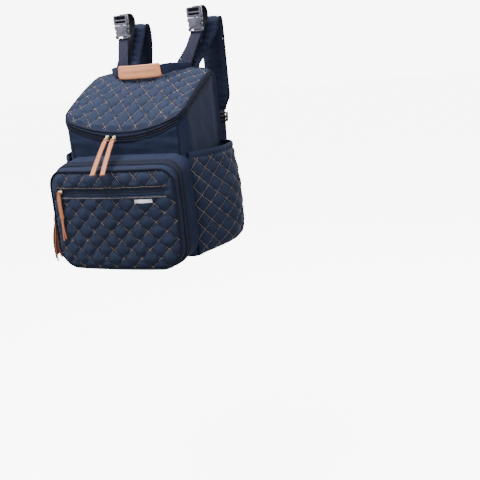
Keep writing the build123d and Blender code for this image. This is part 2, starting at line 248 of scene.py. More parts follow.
def round_section(width, thick, corner, steps=4):
    """A closed rounded rectangle, as points across and outwards."""
    points = []
    corner = min(corner, width / 2, thick / 2)
    for sx, sy, start in ((1, 1, 0), (-1, 1, 90), (-1, -1, 180), (1, -1, 270)):
        for k in range(steps + 1):
            a = radians(start + 90 * k / steps)
            points.append(
                (
                    sx * (width / 2 - corner) + corner * cos(a),
                    sy * (thick / 2 - corner) + corner * sin(a),
                )
            )
    return np.array(points)


def pad_section(width, thick, count=28):
    """A cushion's section: full in the middle, thin at both edges."""
    a = np.arange(count) * 2 * pi / count
    x, y = np.cos(a), np.sin(a)
    return np.stack(
        [np.sign(x) * np.abs(x) ** 0.75 * width / 2, np.sign(y) * np.abs(y) ** 0.8 * thick / 2], -1
    )


def disc_section(radius, sides=8):
    a = np.arange(sides) * 2 * pi / sides
    return np.stack([np.cos(a), np.sin(a)], -1) * radius


def tube(name, line, radius, material, closed=False, across=None, sides=8):
    if across is None:
        along = tangents(line, closed)
        across = np.cross(along, (0.21, 0.37, 0.9))
    section = disc_section(1.0, sides) * np.reshape(radius, (-1, 1, 1))
    if section.shape[0] == 1:
        section = section[0]
    return sweep(name, line, across, section, material, closed)


def stitches(name, lines, material, pitch=3.8, size=3.2, radius=0.44, lift=0.25):
    """Thread along lines: each line is its points and the surface normals there."""
    centres, runs, ups = [], [], []
    for line, up in lines:
        line, up = np.asarray(line, float), np.asarray(up, float)
        total = length_of(line)
        count = int(total / pitch)
        if count < 1:
            continue
        run = distances(line)
        at = (np.arange(count) + 0.5) * total / count
        centres.append(read_off(line, run, at))
        runs.append(read_off(line, run, at + 0.6) - read_off(line, run, at - 0.6))
        ups.append(read_off(np.broadcast_to(up, line.shape), run, at))
    centres, runs = np.concatenate(centres), unit(np.concatenate(runs))
    side = unit(np.cross(runs, np.concatenate(ups)))
    ups = np.cross(side, runs)
    rings = ((-0.5, 0.15, -0.55), (-0.34, 0.85, 0.05), (0, 1, 0.3), (0.34, 0.85, 0.05), (0.5, 0.15, -0.55))
    sides = 6
    a = np.arange(sides) * 2 * pi / sides
    grid = np.zeros((len(centres), len(rings), sides, 3))
    for k, (t, r, h) in enumerate(rings):
        base = centres + runs * (t * size) + ups * (h * radius + lift)
        for s in range(sides):
            grid[:, k, s] = base + radius * r * (side * cos(a[s]) + ups * sin(a[s]))
    one = quads(len(rings), sides, False, True)
    step = np.arange(len(centres))[:, None, None] * (len(rings) * sides)
    faces = (one[None] + step).reshape(-1, 4)
    cloth = np.zeros((len(centres), len(rings), sides, 3))
    cloth[..., 1] = np.arange(len(rings))[None, :, None] * size / 4
    cloth[..., 0] = np.arange(len(centres))[:, None, None] * 0.7
    return build(name, grid, faces, material, cloth)


def along_surface(surface, p, q):
    """Points and outward normals of a surface function along a line of its own coordinates."""
    p, q = np.asarray(p, float), np.asarray(q, float)
    here = surface(p, q)
    up = np.cross(surface(p + 1.5, q) - surface(p - 1.5, q), surface(p, q + 1.5) - surface(p, q - 1.5))
    return here, unit(up)


def lattice(p, q, cell, start):
    """The two diagonal coordinates of quilting; a stitch line runs where one is whole."""
    a = (p - start[0]) / cell[0] + (q - start[1]) / cell[1]
    b = (p - start[0]) / cell[0] - (q - start[1]) / cell[1]
    return a, b


def pillows(p, q, cell, start):
    a, b = lattice(p, q, cell, start)
    return (np.abs(np.sin(pi * a)) * np.abs(np.sin(pi * b))) ** 0.5


def quilt_lines(surface, inside, cell, start, low, high):
    """The stitch lines of both diagonal families that lie inside a panel."""
    lines = []
    reach = int((high[0] - low[0]) / cell[0] + (high[1] - low[1]) / cell[1]) + 3
    q = np.arange(low[1], high[1], 0.8)
    for way in (1, -1):
        for k in range(-reach, reach + 1):
            p = start[0] + cell[0] * (k - way * (q - start[1]) / cell[1])
            keep = inside(p, q)
            if keep.sum() < 6:
                continue
            spots = np.flatnonzero(keep)
            for part in np.split(spots, np.flatnonzero(np.diff(spots) > 1) + 1):
                if len(part) > 6:
                    lines.append(along_surface(surface, p[part], q[part]))
    return lines


def refine(node, name, material, bevel=0.5, body=None):
    """A hard part's shape from its CAD node, with its edges rounded."""
    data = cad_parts[node].data.copy()
    data.name = name
    data.materials.clear()
    data.materials.append(material)
    work = bmesh.new()
    work.from_mesh(data)
    bmesh.ops.remove_doubles(work, verts=work.verts, dist=1e-6)
    bmesh.ops.dissolve_limit(work, angle_limit=radians(3), verts=work.verts, edges=work.edges)
    sharp = [e for e in work.edges if len(e.link_faces) == 2 and e.calc_face_angle() > radians(35)]
    bmesh.ops.bevel(
        work, geom=sharp, offset=bevel / 1000, segments=2, profile=0.5, affect="EDGES", clamp_overlap=True
    )
    work.to_mesh(data)
    work.free()
    data.polygons.foreach_set("use_smooth", np.ones(len(data.polygons), bool))
    data.set_sharp_from_angle(angle=radians(42))
    obj = bpy.data.objects.new(name, data)
    bpy.context.scene.collection.objects.link(obj)
    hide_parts(node)
    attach(obj, body or node)
    return obj


# ---- Materials --------------------------------------------------------------------------
def nodes_of(name):
    material = bpy.data.materials.new(name)
    material.use_nodes = True
    tree = material.node_tree
    return material, tree, tree.nodes["Principled BSDF"]


def add(tree, kind, **values):
    node = tree.nodes.new(kind)
    for key, value in values.items():
        if hasattr(node, key):
            setattr(node, key, value)
        else:
            node.inputs[key.replace("_", " ")].default_value = value
    return node


def surface_coords(tree):
    return add(tree, "ShaderNodeAttribute", attribute_name="cloth").outputs["Vector"]


def noise(tree, coords, scale, detail=3.0):
    node = add(tree, "ShaderNodeTexNoise", Scale=scale, Detail=detail)
    tree.links.new(coords, node.inputs["Vector"])
    return node.outputs["Fac"]


def wave(tree, coords, scale, direction="X", kind="SIN", warp=0.0):
    node = add(tree, "ShaderNodeTexWave", Scale=scale, Distortion=warp)
    node.bands_direction = direction
    node.wave_profile = kind
    tree.links.new(coords, node.inputs["Vector"])
    return node.outputs["Fac"]


def maths(tree, operation, a, b):
    node = add(tree, "ShaderNodeMath", operation=operation)
    for socket, value in zip(node.inputs, (a, b)):
        if isinstance(value, (int, float)):
            socket.default_value = value
        else:
            tree.links.new(value, socket)
    return node.outputs[0]


def ramp(tree, factor, stops):
    node = tree.nodes.new("ShaderNodeValToRGB")
    elements = node.color_ramp.elements
    while len(elements) < len(stops):
        elements.new(0.5)
    for element, (place, colour) in zip(elements, stops):
        element.position = place
        element.color = (*colour, 1)
    tree.links.new(factor, node.inputs["Fac"])
    return node.outputs["Color"]


def bump(tree, shader, height, strength, distance):
    node = add(tree, "ShaderNodeBump", Strength=strength, Distance=distance)
    tree.links.new(height, node.inputs["Height"])
    tree.links.new(node.outputs["Normal"], shader.inputs["Normal"])


def shade(colour, amount):
    return tuple(min(1.0, c * amount) for c in colour)


def woven(name, colour, sheen=0.35, rough=0.75, scale=320.0, patchy=0.16, twill=True):
    """Cloth: crossing threads, tone that wanders, and the piece's tone, which on quilting is painted shade in
    the valleys and painted highlight on the crests.
    """
    material, tree, shader = nodes_of(name)
    coords = surface_coords(tree)
    tone = add(tree, "ShaderNodeAttribute", attribute_name="tone").outputs["Fac"]
    weft = wave(tree, coords, scale, "DIAGONAL" if twill else "X")
    threads = weft if twill else maths(tree, "MULTIPLY", weft, wave(tree, coords, scale, "Y", warp=0.4))
    cloud = noise(tree, coords, 28.0)
    fibre = noise(tree, coords, 900.0, 2.0)
    mixed = maths(tree, "MULTIPLY", maths(tree, "SUBTRACT", cloud, 0.5), 2 * patchy)
    mixed = maths(tree, "ADD", mixed, maths(tree, "MULTIPLY", maths(tree, "SUBTRACT", fibre, 0.5), 0.25))
    mixed = maths(tree, "ADD", mixed, maths(tree, "MULTIPLY", threads, 0.14))
    # The piece's tone: on quilted panels it holds painted shade in the valleys and painted highlight on the
    # crests.
    mixed = maths(tree, "ADD", mixed, tone)
    stops = ((0.0, shade(colour, 0.42)), (0.5, colour), (1.0, shade(colour, 1.75)))
    tree.links.new(ramp(tree, mixed, stops), shader.inputs["Base Color"])
    level = maths(tree, "ADD", maths(tree, "MULTIPLY", fibre, 0.2), rough - 0.1)
    tree.links.new(level, shader.inputs["Roughness"])
    relief = maths(tree, "ADD", threads, maths(tree, "MULTIPLY", fibre, 0.6))
    bump(tree, shader, relief, 0.45, 0.00035)
    shader.inputs["Sheen Weight"].default_value = sheen
    shader.inputs["Sheen Roughness"].default_value = 0.45
    shader.inputs["Sheen Tint"].default_value = (0.55, 0.66, 1.0, 1)
    shader.inputs["Specular IOR Level"].default_value = 0.16
    return material


def ribbed(name, colour, scale=120.0, rough=0.6):
    """Webbing: ribs along its length, cut across by the weft."""
    material, tree, shader = nodes_of(name)
    coords = surface_coords(tree)
    tone = add(tree, "ShaderNodeAttribute", attribute_name="tone").outputs["Fac"]
    ribs = wave(tree, coords, scale, "X")
    weft = wave(tree, coords, scale * 2.2, "Y", warp=0.3)
    fibre = noise(tree, coords, 1100.0, 2.0)
    relief = maths(tree, "ADD", ribs, maths(tree, "MULTIPLY", weft, 0.5))
    mixed = maths(tree, "ADD", maths(tree, "MULTIPLY", relief, 0.28), maths(tree, "MULTIPLY", fibre, 0.3))
    mixed = maths(tree, "ADD", mixed, maths(tree, "SUBTRACT", tone, 0.4))
    stops = ((0.0, shade(colour, 0.5)), (0.5, colour), (1.0, shade(colour, 1.6)))
    tree.links.new(ramp(tree, mixed, stops), shader.inputs["Base Color"])
    uneven = maths(tree, "ADD", maths(tree, "MULTIPLY", fibre, 0.2), rough - 0.1)
    tree.links.new(uneven, shader.inputs["Roughness"])
    bump(tree, shader, relief, 0.6, 0.0005)
    shader.inputs["Sheen Weight"].default_value = 0.08
    shader.inputs["Sheen Tint"].default_value = (0.55, 0.6, 1.0, 1)
    shader.inputs["Specular IOR Level"].default_value = 0.2
    return material


def leather(name, colour, edge):
    """Smooth tanned leather: pores, clouded tone and darker cut edges; the grip's tone also brings painted
    shade into its rib grooves.
    """
    material, tree, shader = nodes_of(name)
    coords = surface_coords(tree)
    tone = add(tree, "ShaderNodeAttribute", attribute_name="tone").outputs["Fac"]
    pores = add(tree, "ShaderNodeTexVoronoi", Scale=1100.0)
    tree.links.new(coords, pores.inputs["Vector"])
    cloud = noise(tree, coords, 45.0, 4.0)
    fine = noise(tree, coords, 700.0, 3.0)
    mixed = maths(tree, "ADD", maths(tree, "MULTIPLY", cloud, 0.5), maths(tree, "MULTIPLY", fine, 0.14))
    mixed = maths(tree, "ADD", mixed, maths(tree, "SUBTRACT", tone, 0.32))
    stops = ((0.0, edge), (0.45, colour), (1.0, shade(colour, 1.3)))
    tree.links.new(ramp(tree, mixed, stops), shader.inputs["Base Color"])
    tree.links.new(maths(tree, "ADD", maths(tree, "MULTIPLY", fine, 0.25), 0.36), shader.inputs["Roughness"])
    relief = maths(tree, "ADD", pores.outputs["Distance"], fine)
    bump(tree, shader, relief, 0.3, 0.0003)
    shader.inputs["Coat Weight"].default_value = 0.12
    shader.inputs["Coat Roughness"].default_value = 0.35
    return material


def hard(name, colour, rough=0.35, metal=0.0, grain=700.0, depth=0.00006):
    """Moulded plastic or cast metal with a fine grain and rubbed patches."""
    material, tree, shader = nodes_of(name)
    coords = add(tree, "ShaderNodeTexCoord").outputs["Object"]
    cloud = noise(tree, coords, 90.0, 4.0)
    fine = noise(tree, coords, grain, 2.0)
    stops = ((0.2, shade(colour, 0.8)), (0.8, shade(colour, 1.15)))
    tree.links.new(ramp(tree, cloud, stops), shader.inputs["Base Color"])
    level = maths(tree, "ADD", maths(tree, "MULTIPLY", cloud, 0.22), rough - 0.1)
    tree.links.new(level, shader.inputs["Roughness"])
    bump(tree, shader, fine, 0.35, depth)
    shader.inputs["Metallic"].default_value = metal
    return material


def spacer_mesh(name, colour):
    """Knitted back mesh with small round holes, painted dark inside as shade, the knit round them paler."""
    material, tree, shader = nodes_of(name)
    coords = surface_coords(tree)
    cells = add(tree, "ShaderNodeTexVoronoi", Scale=380.0, Randomness=0.15)
    tree.links.new(coords, cells.inputs["Vector"])
    hole = cells.outputs["Distance"]
    # Painted shade in the holes; the knit between them paler.
    stops = ((0.15, shade(colour, 0.25)), (0.45, colour), (0.9, shade(colour, 1.8)))
    tree.links.new(ramp(tree, hole, stops), shader.inputs["Base Color"])
    tree.links.new(maths(tree, "ADD", maths(tree, "MULTIPLY", hole, 0.2), 0.7), shader.inputs["Roughness"])
    bump(tree, shader, hole, 0.8, 0.0008)
    shader.inputs["Sheen Weight"].default_value = 0.06
    return material


NAVY = (0.0125, 0.0185, 0.041)
quilt_cloth = woven("quilt_cloth", NAVY, sheen=0.07, patchy=0.2)
plain_cloth = woven("plain_cloth", (0.0095, 0.0145, 0.036), sheen=0.05)
dark_cloth = woven("dark_cloth", (0.0055, 0.0075, 0.018), sheen=0.03)
lining_cloth = woven("lining_cloth", (0.2, 0.21, 0.24), sheen=0.08, scale=420.0, twill=False)
tape_cloth = woven("tape_cloth", (0.006, 0.009, 0.022), sheen=0.04, scale=500.0, twill=False)
label_cloth = woven("label_cloth", (0.7, 0.71, 0.76), sheen=0.1, scale=600.0, twill=False)
webbing = ribbed("webbing", (0.017, 0.0175, 0.044))
# A darker copy of the webbing: painted shade for the loop round the bar.
bar_webbing_painted_shade = ribbed("bar_webbing_painted_shade", (0.007, 0.0075, 0.016))
thread = woven("thread", (0.3, 0.215, 0.14), sheen=0.1, scale=1500.0)
navy_thread = woven("navy_thread", (0.03, 0.038, 0.08), sheen=0.1, scale=1500.0)
tan_leather = leather("tan_leather", (0.66, 0.26, 0.12), (0.22, 0.07, 0.028))
pull_leather = leather("pull_leather", (0.44, 0.145, 0.06), (0.16, 0.045, 0.016))
tassel_leather = leather("tassel_leather", (0.19, 0.055, 0.019), (0.06, 0.015, 0.005))
pale_gold = hard("pale_gold", (0.83, 0.66, 0.45), 0.26, 1.0, 1500.0, 0.00003)
silver_plastic = hard("silver_plastic", (0.085, 0.085, 0.12), 0.32, 0.2)
black_plastic = hard("black_plastic", (0.008, 0.008, 0.01), 0.4)
coil_plastic = hard("coil_plastic", (0.009, 0.012, 0.028), 0.35)
back_mesh = spacer_mesh("back_mesh", (0.012, 0.014, 0.026))
board_grain = hard("board_grain", (0.06, 0.06, 0.065), 0.6, 0.0, 300.0, 0.0002)
LINED_PLAIN = [plain_cloth, dark_cloth]
LINED_QUILT = [quilt_cloth, dark_cloth]


# ---- Shapes shared by the pieces --------------------------------------------------------
def seam_height(x, y):
    """The lid's zip: an arc that sags in front and climbs to the back."""
    return SEAM_Z + SEAM_R - np.sqrt(SEAM_R**2 - np.asarray(x) ** 2) + np.asarray(y) * SEAM_RISE


def wall_line(count, grow=0.0, rear=151.0):
    """The body in plan, from the left rear corner round the front to the right rear."""
    h, r = HALF + grow, FRONT_R + grow
    left = np.array([(-h, y, 0) for y in np.linspace(rear, r - grow, 40)])
    a = np.radians(np.linspace(180, 270, 24))
    corner = np.stack([-h + r + r * np.cos(a), r - grow + r * np.sin(a), 0 * a], -1)
    front = np.array([(x, -grow, 0) for x in np.linspace(-h + r, h - r, 60)])
    half = np.concatenate([left, corner[1:], front[1:]])
    other = np.concatenate([left, corner[1:]])[::-1] * (-1, 1, 1)
    return even(np.concatenate([half, other[1:]]), count)


def pocket_ring(y, count, grow=0.0):
    """The front pocket's outline at a depth, anticlockwise seen from the front."""
    y = np.asarray(y, float)
    top = POCKET_TOP + y * POCKET_SLOPE + grow
    rt, rb, h = POCKET_R_TOP + grow, POCKET_R_BOTTOM + grow, POCKET_HALF + grow
    upright, low_arc, high_arc = 150 - rb, rb * pi / 2, rt * pi / 2
    across = 2 * (h - rb), 2 * (h - rt)
    share = np.array([across[0], low_arc, upright, high_arc, across[1], high_arc, upright, low_arc])
    marks = np.concatenate([[0], np.cumsum(share)]) / share.sum()
    s = (np.arange(count) + 0.5) / count
    k = np.clip(np.searchsorted(marks, s, "right") - 1, 0, 7)
    t = (s - marks[k]) / (marks[k + 1] - marks[k])
    low = -grow
    x, z = np.zeros(count), np.zeros(count)
    arc = t * pi / 2
    options = (
        (-h + rb + t * 2 * (h - rb), low + 0 * t),
        (h - rb + rb * np.sin(arc), low + rb - rb * np.cos(arc)),
        (h + 0 * t, low + rb + t * (top - low - rb - rt)),
        (h - rt + rt * np.cos(arc), top - rt + rt * np.sin(arc)),
        (h - rt - t * 2 * (h - rt), top + 0 * t),
        (-h + rt - rt * np.sin(arc), top - rt + rt * np.cos(arc)),
        (-h + 0 * t, top - rt - t * (top - low - rb - rt)),
        (-h + rb - rb * np.cos(arc), low + rb - rb * np.sin(arc)),
    )
    for part, (px, pz) in enumerate(options):
        here = k == part
        x[here], z[here] = px[here], pz[here]
    return x, z


def face_bow(x):
    """How the pocket's face bows forward."""
    return FACE_Y + FACE_R - np.sqrt(FACE_R**2 - np.asarray(x) ** 2)


def half_width(z, top, half, r_top, r_bottom):
    """Half the width of a rounded outline at a height."""
    up = np.clip(z - (top - r_top), 0, r_top)
    down = np.clip(r_bottom - z, 0, r_bottom)
    return half - (r_top - np.sqrt(r_top**2 - up**2)) - (r_bottom - np.sqrt(r_bottom**2 - down**2))


def bunched(low, high, step, end):
    """Stations from low to high, closer together within a corner's height of both ends."""
    a = np.linspace(0, pi / 2, 14)[:-1]
    start = low + end * (1 - np.cos(a))
    finish = high - end * (1 - np.cos(a))
    middle = np.arange(low + end, high - end, step)
    return np.concatenate([start, middle, finish[::-1]])


def teeth(name, centre, along, across, out, material, pitch=1.7, reach=2.2):
    """A row of coil teeth: one small loop after another along a line."""
    total = length_of(centre)
    count = int(total / pitch)
    run = distances(centre)
    at = (np.arange(count) + 0.5) * pitch
    c = read_off(centre, run, at)
    along, across, out = (np.broadcast_to(data, centre.shape) for data in (along, across, out))
    t, w, o = (unit(read_off(data, run, at)) for data in (along, across, out))
    sides, rings = 6, 7
    grid = np.zeros((count, rings, sides, 3))
    for k in range(rings):
        angle = pi * k / (rings - 1)
        core = c + w * (reach * (sin(angle) - 0.2)) + o * (0.75 * cos(angle))
        radial = w * sin(angle) + o * cos(angle)
        for s in range(sides):
            b = 2 * pi * s / sides
            grid[:, k, s] = core + 0.5 * (radial * cos(b) + t * sin(b))
    one = quads(rings, sides, False, True)
    faces = (one[None] + np.arange(count)[:, None, None] * rings * sides).reshape(-1, 4)
    return build(name, grid, faces, material)


# ---- Front pocket -----------------------------------------------------------------------
FACE_TOP = POCKET_TOP + FACE_Y * POCKET_SLOPE - 0.5
FACE_HALF = POCKET_HALF - 0.5
LOW_CELL, LOW_START = (41.0, 37.2), (-2.9, 115.0)
HIGH_CELL, HIGH_START = (40.0, 46.0), (2.4, 164.5)


def face_edge(x, z):
    """Distance in from the face's rounded outline."""
    wide = half_width(np.clip(z, 0, FACE_TOP), FACE_TOP, FACE_HALF, POCKET_R_TOP, POCKET_R_BOTTOM)
    return np.minimum(wide - np.abs(x), np.minimum(z, FACE_TOP - z))


def zip_gap(x, z):
    """Distance out from the zip's slot in the face."""
    dx = np.abs(x) - ZIP_W / 2
    dz = np.abs(z - ZIP_Z) - ZIP_H / 2
    return np.maximum(dx, dz)


def face(x, z):
    low = pillows(x, z, LOW_CELL, LOW_START)
    high = pillows(x, z, HIGH_CELL, HIGH_START)
    above = fade((z - ZIP_Z) / 8 + 0.5)
    puff = low * (1 - above) + high * above
    rim = fade(face_edge(x, z) / 8)
    slot = fade((zip_gap(x, z) + 0.5) / 4)
    pucker = 0.75 * ripple(x, z, 10, 4) * (1.15 - puff) + 0.4 * ripple(x, z, 22, 5)
    h = (4.4 * puff + pucker) * rim * slot + 3.2 * fade(face_edge(x, z) / 22)
    h = h - 2.6 * (1 - slot)
    return np.stack([x, face_bow(x) - h + 1.2, z], -1)


# Painted shade in the quilting's valleys and along its rim, painted highlight on the puffed crests.
def face_painted_shading(x, z):
    low = pillows(x, z, LOW_CELL, LOW_START)
    high = pillows(x, z, HIGH_CELL, HIGH_START)
    puff = np.where(z > ZIP_Z, high, low)
    return 0.36 + 0.2 * puff * fade(face_edge(x, z) / 8)


def make_face_panel():
    z = bunched(0.3, FACE_TOP - 0.3, 1.3, 32)
    u = np.linspace(-1, 1, 225)
    u, z = np.meshgrid(u, z, indexing="ij")
    x = u * half_width(z, FACE_TOP, FACE_HALF, POCKET_R_TOP, POCKET_R_BOTTOM)
    obj = shell("quilted_face", face(x, z), 2.6, LINED_QUILT, flat_coords(x, z), face_painted_shading(x, z))
    settle(obj, "flap", "quilted_navy", "flap_panel")

    def below_zip(p, q):
        return (face_edge(p, q) > 1.5) & (zip_gap(p, q) > 2.4) & (q < ZIP_Z + 1)

    def above_zip(p, q):
        return (face_edge(p, q) > 1.5) & (zip_gap(p, q) > 2.4) & (q > ZIP_Z + 1)

    lines = quilt_lines(face, below_zip, LOW_CELL, LOW_START, (-145, 0), (145, 205))
    lines += quilt_lines(face, above_zip, HIGH_CELL, HIGH_START, (-145, 0), (145, 205))
    run = np.arange(-ZIP_W / 2 - 4, ZIP_W / 2 + 4, 2.0)
    for z in (ZIP_Z - ZIP_H / 2 - 3.2, ZIP_Z + ZIP_H / 2 + 3.2):
        lines.append(along_surface(face, run, np.full(len(run), z)))
    obj = stitches("face_stitching", lines, thread, lift=0.55)
    settle(obj, "flap", "quilted_navy")


def settle(obj, body, slot=None, *nodes):
    """A finished piece rides on its body and stands for its CAD nodes; its slot, the finish, is not used."""
    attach(obj, body)
    if nodes:
        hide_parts(*nodes)
    return obj


def face_strip(low, high, lift, x_low, x_high, bow=0.0):
    """A strip lying along the face's curve: its grid and flat coordinates."""
    x = np.linspace(x_low, x_high, 150)
    z = np.linspace(low, high, 15)
    x, z = np.meshgrid(x, z, indexing="ij")
    t = (z - low) / (high - low)
    y = face_bow(x) + 1.2 - lift - bow * np.sin(pi * t)
    return np.stack([x, y, z], -1), flat_coords(x, z)


def make_face_zip():
    grid, cloth = face_strip(ZIP_Z - ZIP_H / 2, ZIP_Z + ZIP_H / 2, -1.2, -ZIP_W / 2, ZIP_W / 2)
    obj = shell("face_zip_tape", grid, 1.4, tape_cloth, cloth)
    settle(obj, "flap", "zip_tape_navy", "front_zip_tape")
    for way, name in ((1, "upper"), (-1, "lower")):
        low, high = sorted((ZIP_Z + way * 2.4, ZIP_Z + way * 8.6))
        lip, cloth = face_strip(low, high, 0.3, -ZIP_W / 2 - 2, ZIP_W / 2 + 2, 1.4)
        obj = shell(f"face_zip_lip_{name}", lip, 1.6, quilt_cloth, cloth)
        settle(obj, "flap", "quilted_navy")
        x = np.linspace(-ZIP_W / 2 + 3, ZIP_W / 2 - 3, 200)
        line = np.stack([x, face_bow(x) + 1.2, np.full_like(x, ZIP_Z - way * 0.2)], -1)
        obj = teeth(f"face_zip_teeth_{name}", line, tangents(line), (0, 0, way), (0, -1, 0), coil_plastic)
        settle(obj, "flap", "zip_tape_navy")


def make_piping():
    x, z = pocket_ring(-82, 420, 0.4)
    line = np.stack([x, face_bow(x) + 1.2, z], -1)
    obj = tube("flap_piping_cord", line, 2.7, dark_cloth, closed=True, sides=12)
    settle(obj, "flap", "piping_navy", "flap_piping")
    welts = (("flap_seam_welt", SPLIT_Y - 12.5, "flap"), ("pocket_seam_welt", SPLIT_Y + 12.5, "body"))
    for name, at, body in welts:
        x, z = pocket_ring(at, 420, 1.0)
        line = np.stack([x, np.full_like(x, at), z], -1)
        obj = tube(name, line, 0.9, dark_cloth, closed=True, sides=8)
        settle(obj, body, "plain_navy")


def gusset(name, y_from, y_to, body, node, seed):
    """One half of the pocket's side wall: soft, creased, open in front and behind."""
    count, rows = 360, 26
    grid = np.zeros((count, rows, 3))
    cloth = np.zeros((count, rows, 3))
    for j, t in enumerate(np.linspace(0, 1, rows)):
        y = y_from + (y_to - y_from) * t
        x, z = pocket_ring(y, count, 0.0)
        if abs(y_from - SPLIT_Y) > 5:
            y_line = y + (face_bow(x) - FACE_Y) * (1 - t)
        else:
            y_line = np.full_like(x, y)
        centre = np.stack([x * 0.86, 100 + (z - 100) * 0.8], -1)
        out = unit(np.stack([x, z], -1) - centre)
        s = np.arange(count) * 2.3
        bulge = 1.6 * sin(pi * t) * (z > 6) + 0.6 * ripple(s, y_line * 2.2, 52, seed) * sin(pi * t) * (z > 10)
        grid[:, j] = np.stack([x + out[:, 0] * bulge, y_line, z + out[:, 1] * bulge], -1)
        cloth[:, j, 0] = s
        cloth[:, j, 1] = y
    obj = shell(name, grid, 2.0, LINED_PLAIN, cloth, wrap_u=True, flip=y_to > y_from)
    settle(obj, body, "plain_navy", node)


def make_pocket_zip():
    """The zip round the pocket: a tape and a row of teeth on each side of the split."""
    halves = (("flap", -1, "flap", "flap_zip_tape"), ("pocket", 1, "body", "pocket_zip_tape_rear"))
    for name, way, body, node in halves:
        count = 380
        rows = []
        for d, lift in ((0.25, 1.6), (1.2, 1.9), (3.4, 1.9), (4.4, 2.6), (6.2, 2.9), (8.2, 2.4), (9.4, 1.0)):
            y = SPLIT_Y + way * d
            x, z = pocket_ring(y, count, lift)
            rows.append(np.stack([x, np.full_like(x, y), z], -1))
        grid = np.stack(rows, 1)
        cloth = np.zeros_like(grid)
        cloth[..., 0] = np.arange(count)[:, None] * 2.3
        cloth[..., 1] = np.linspace(0, 10, len(rows))
        obj = shell(f"{name}_zip_fold", grid, 1.2, dark_cloth, cloth, wrap_u=True, flip=way < 0)
        settle(obj, body, "zip_tape_navy", node)
        x, z = pocket_ring(SPLIT_Y, 700, 2.0)
        line = np.stack([x, np.full_like(x, SPLIT_Y + way * 0.5), z], -1)
        along = tangents(line, True)
        out = unit(np.cross(along, (0, -1, 0)))
        line, along, out = line[95:], along[95:], out[95:]
        obj = teeth(f"{name}_zip_teeth", line, along, (0, -way, 0), out, coil_plastic, reach=1.6)
        settle(obj, body, "zip_tape_navy")


def make_label():
    x = np.linspace(60, 98, 40)
    z = np.linspace(136.6, 143.4, 12)
    x, z = np.meshgrid(x, z, indexing="ij")
    here, _ = along_surface(face, x, z)
    base = face_bow(x) + 1.2 - 7.6 + 0.25 * np.sin(x * 0.3)
    grid = np.stack([x, np.minimum(here[..., 1] - 0.4, base + 1.6), z], -1)
    obj = shell("blank_label", grid, 0.7, label_cloth, flat_coords(x, z))
    settle(obj, "flap", "label_fabric", "label")


def make_flap_lining():
    z = bunched(6, FACE_TOP - 6, 3.0, 30)
    u = np.linspace(-1, 1, 90)
    u, z = np.meshgrid(u, z, indexing="ij")
    x = u * (half_width(z, FACE_TOP, FACE_HALF, POCKET_R_TOP, POCKET_R_BOTTOM) - 5)
    y = face_bow(x) + 9.5 + 0.9 * ripple(x, z, 60, 12)
    obj = shell("flap_inner_lining", np.stack([x, y, z], -1), 0.8, lining_cloth, flat_coords(x, z))
    settle(obj, "flap", "lining", "flap_lining")


# ---- Body -------------------------------------------------------------------------------
def wall_out(line):
    along = tangents(line)
    return unit(np.cross(along, (0, 0, 1.0)))


def wall_panel(name, line, foot, lift, thick, materials, relief, slot, nodes):
    """A stretch of the body's wall, from its foot up to just under the lid's zip."""
    out = wall_out(line)
    top = seam_height(line[:, 0], line[:, 1]) + lift
    rows = 70
    grid = np.zeros((len(line), rows, 3))
    cloth = np.zeros_like(grid)
    s = distances(line)
    for j, t in enumerate(np.linspace(0, 1, rows)):
        z = foot + (top - foot) * t
        push = relief(s, z, t, line)
        grid[:, j] = line + out * push[:, None]
        grid[:, j, 2] = z
        cloth[:, j, 0] = s
        cloth[:, j, 1] = z
    tone = 0.5 + 0 * grid[..., 0]
    obj = shell(name, grid, thick, materials, cloth, tone)
    settle(obj, "body", slot, *nodes)
    return obj


def front_relief(s, z, t, line):
    """Plain and soft: a pressed ridge under the zip and shallow folds."""
    drop = seam_height(line[:, 0], line[:, 1]) - z
    ridge = 1.7 * np.exp(-(((drop - 14.0) / 1.6) ** 2))
    soft = fade((z - 222) / 14) * fade(drop / 10)
    return ridge + soft * (1.3 * ripple(s, z * 2.4, 60, 21) + 1.2)


def side_relief(s, z, t, line):
    y = line[:, 1]
    drop = seam_height(line[:, 0], y) - z
    ridge = 0.9 * np.exp(-(((drop - 14.0) / 1.6) ** 2))
    soft = fade((z - 40) / 60) * fade(drop / 14) * fade((y - 6) / 20) * fade((HINGE_Y - y) / 16)
    creases = 0.9 * ripple(y * 0.8 + z * 0.35, z * 0.5 - y * 0.4, 75, 31) + 0.25 * ripple(y, z, 30, 32)
    return ridge + soft * (creases + 2.0)


def make_walls():
    line = wall_line(480)
    x = line[:, 0]
    front = line[np.abs(x) <= 126.5]
    obj = wall_panel(
        "front_wall", front, WALL, -1.0, 2.6, LINED_PLAIN, front_relief, "plain_navy", ["front_panel"]
    )
    for side, sign in SIDES.items():
        part = line[(np.abs(x) >= 125.5) & (np.sign(x) == sign)]
        nodes = [f"side_panel_{side}"]
        obj = wall_panel(
            f"side_wall_{side}", part, WALL, -1.0, 2.6, LINED_PLAIN, side_relief, "plain_navy", nodes
        )
        corner = np.array([sign * 126.3, 0, 0])
        at = line[np.argmin(np.linalg.norm(line - corner, axis=1))]
        z = np.linspace(4, seam_height(at[0], at[1]) - 2, 60)
        seam = np.stack([np.full_like(z, at[0]), np.full_like(z, at[1] - 0.4), z], -1)
        obj = tube(f"corner_seam_{side}", seam, 1.5, dark_cloth)
        settle(obj, "body", "piping_navy")


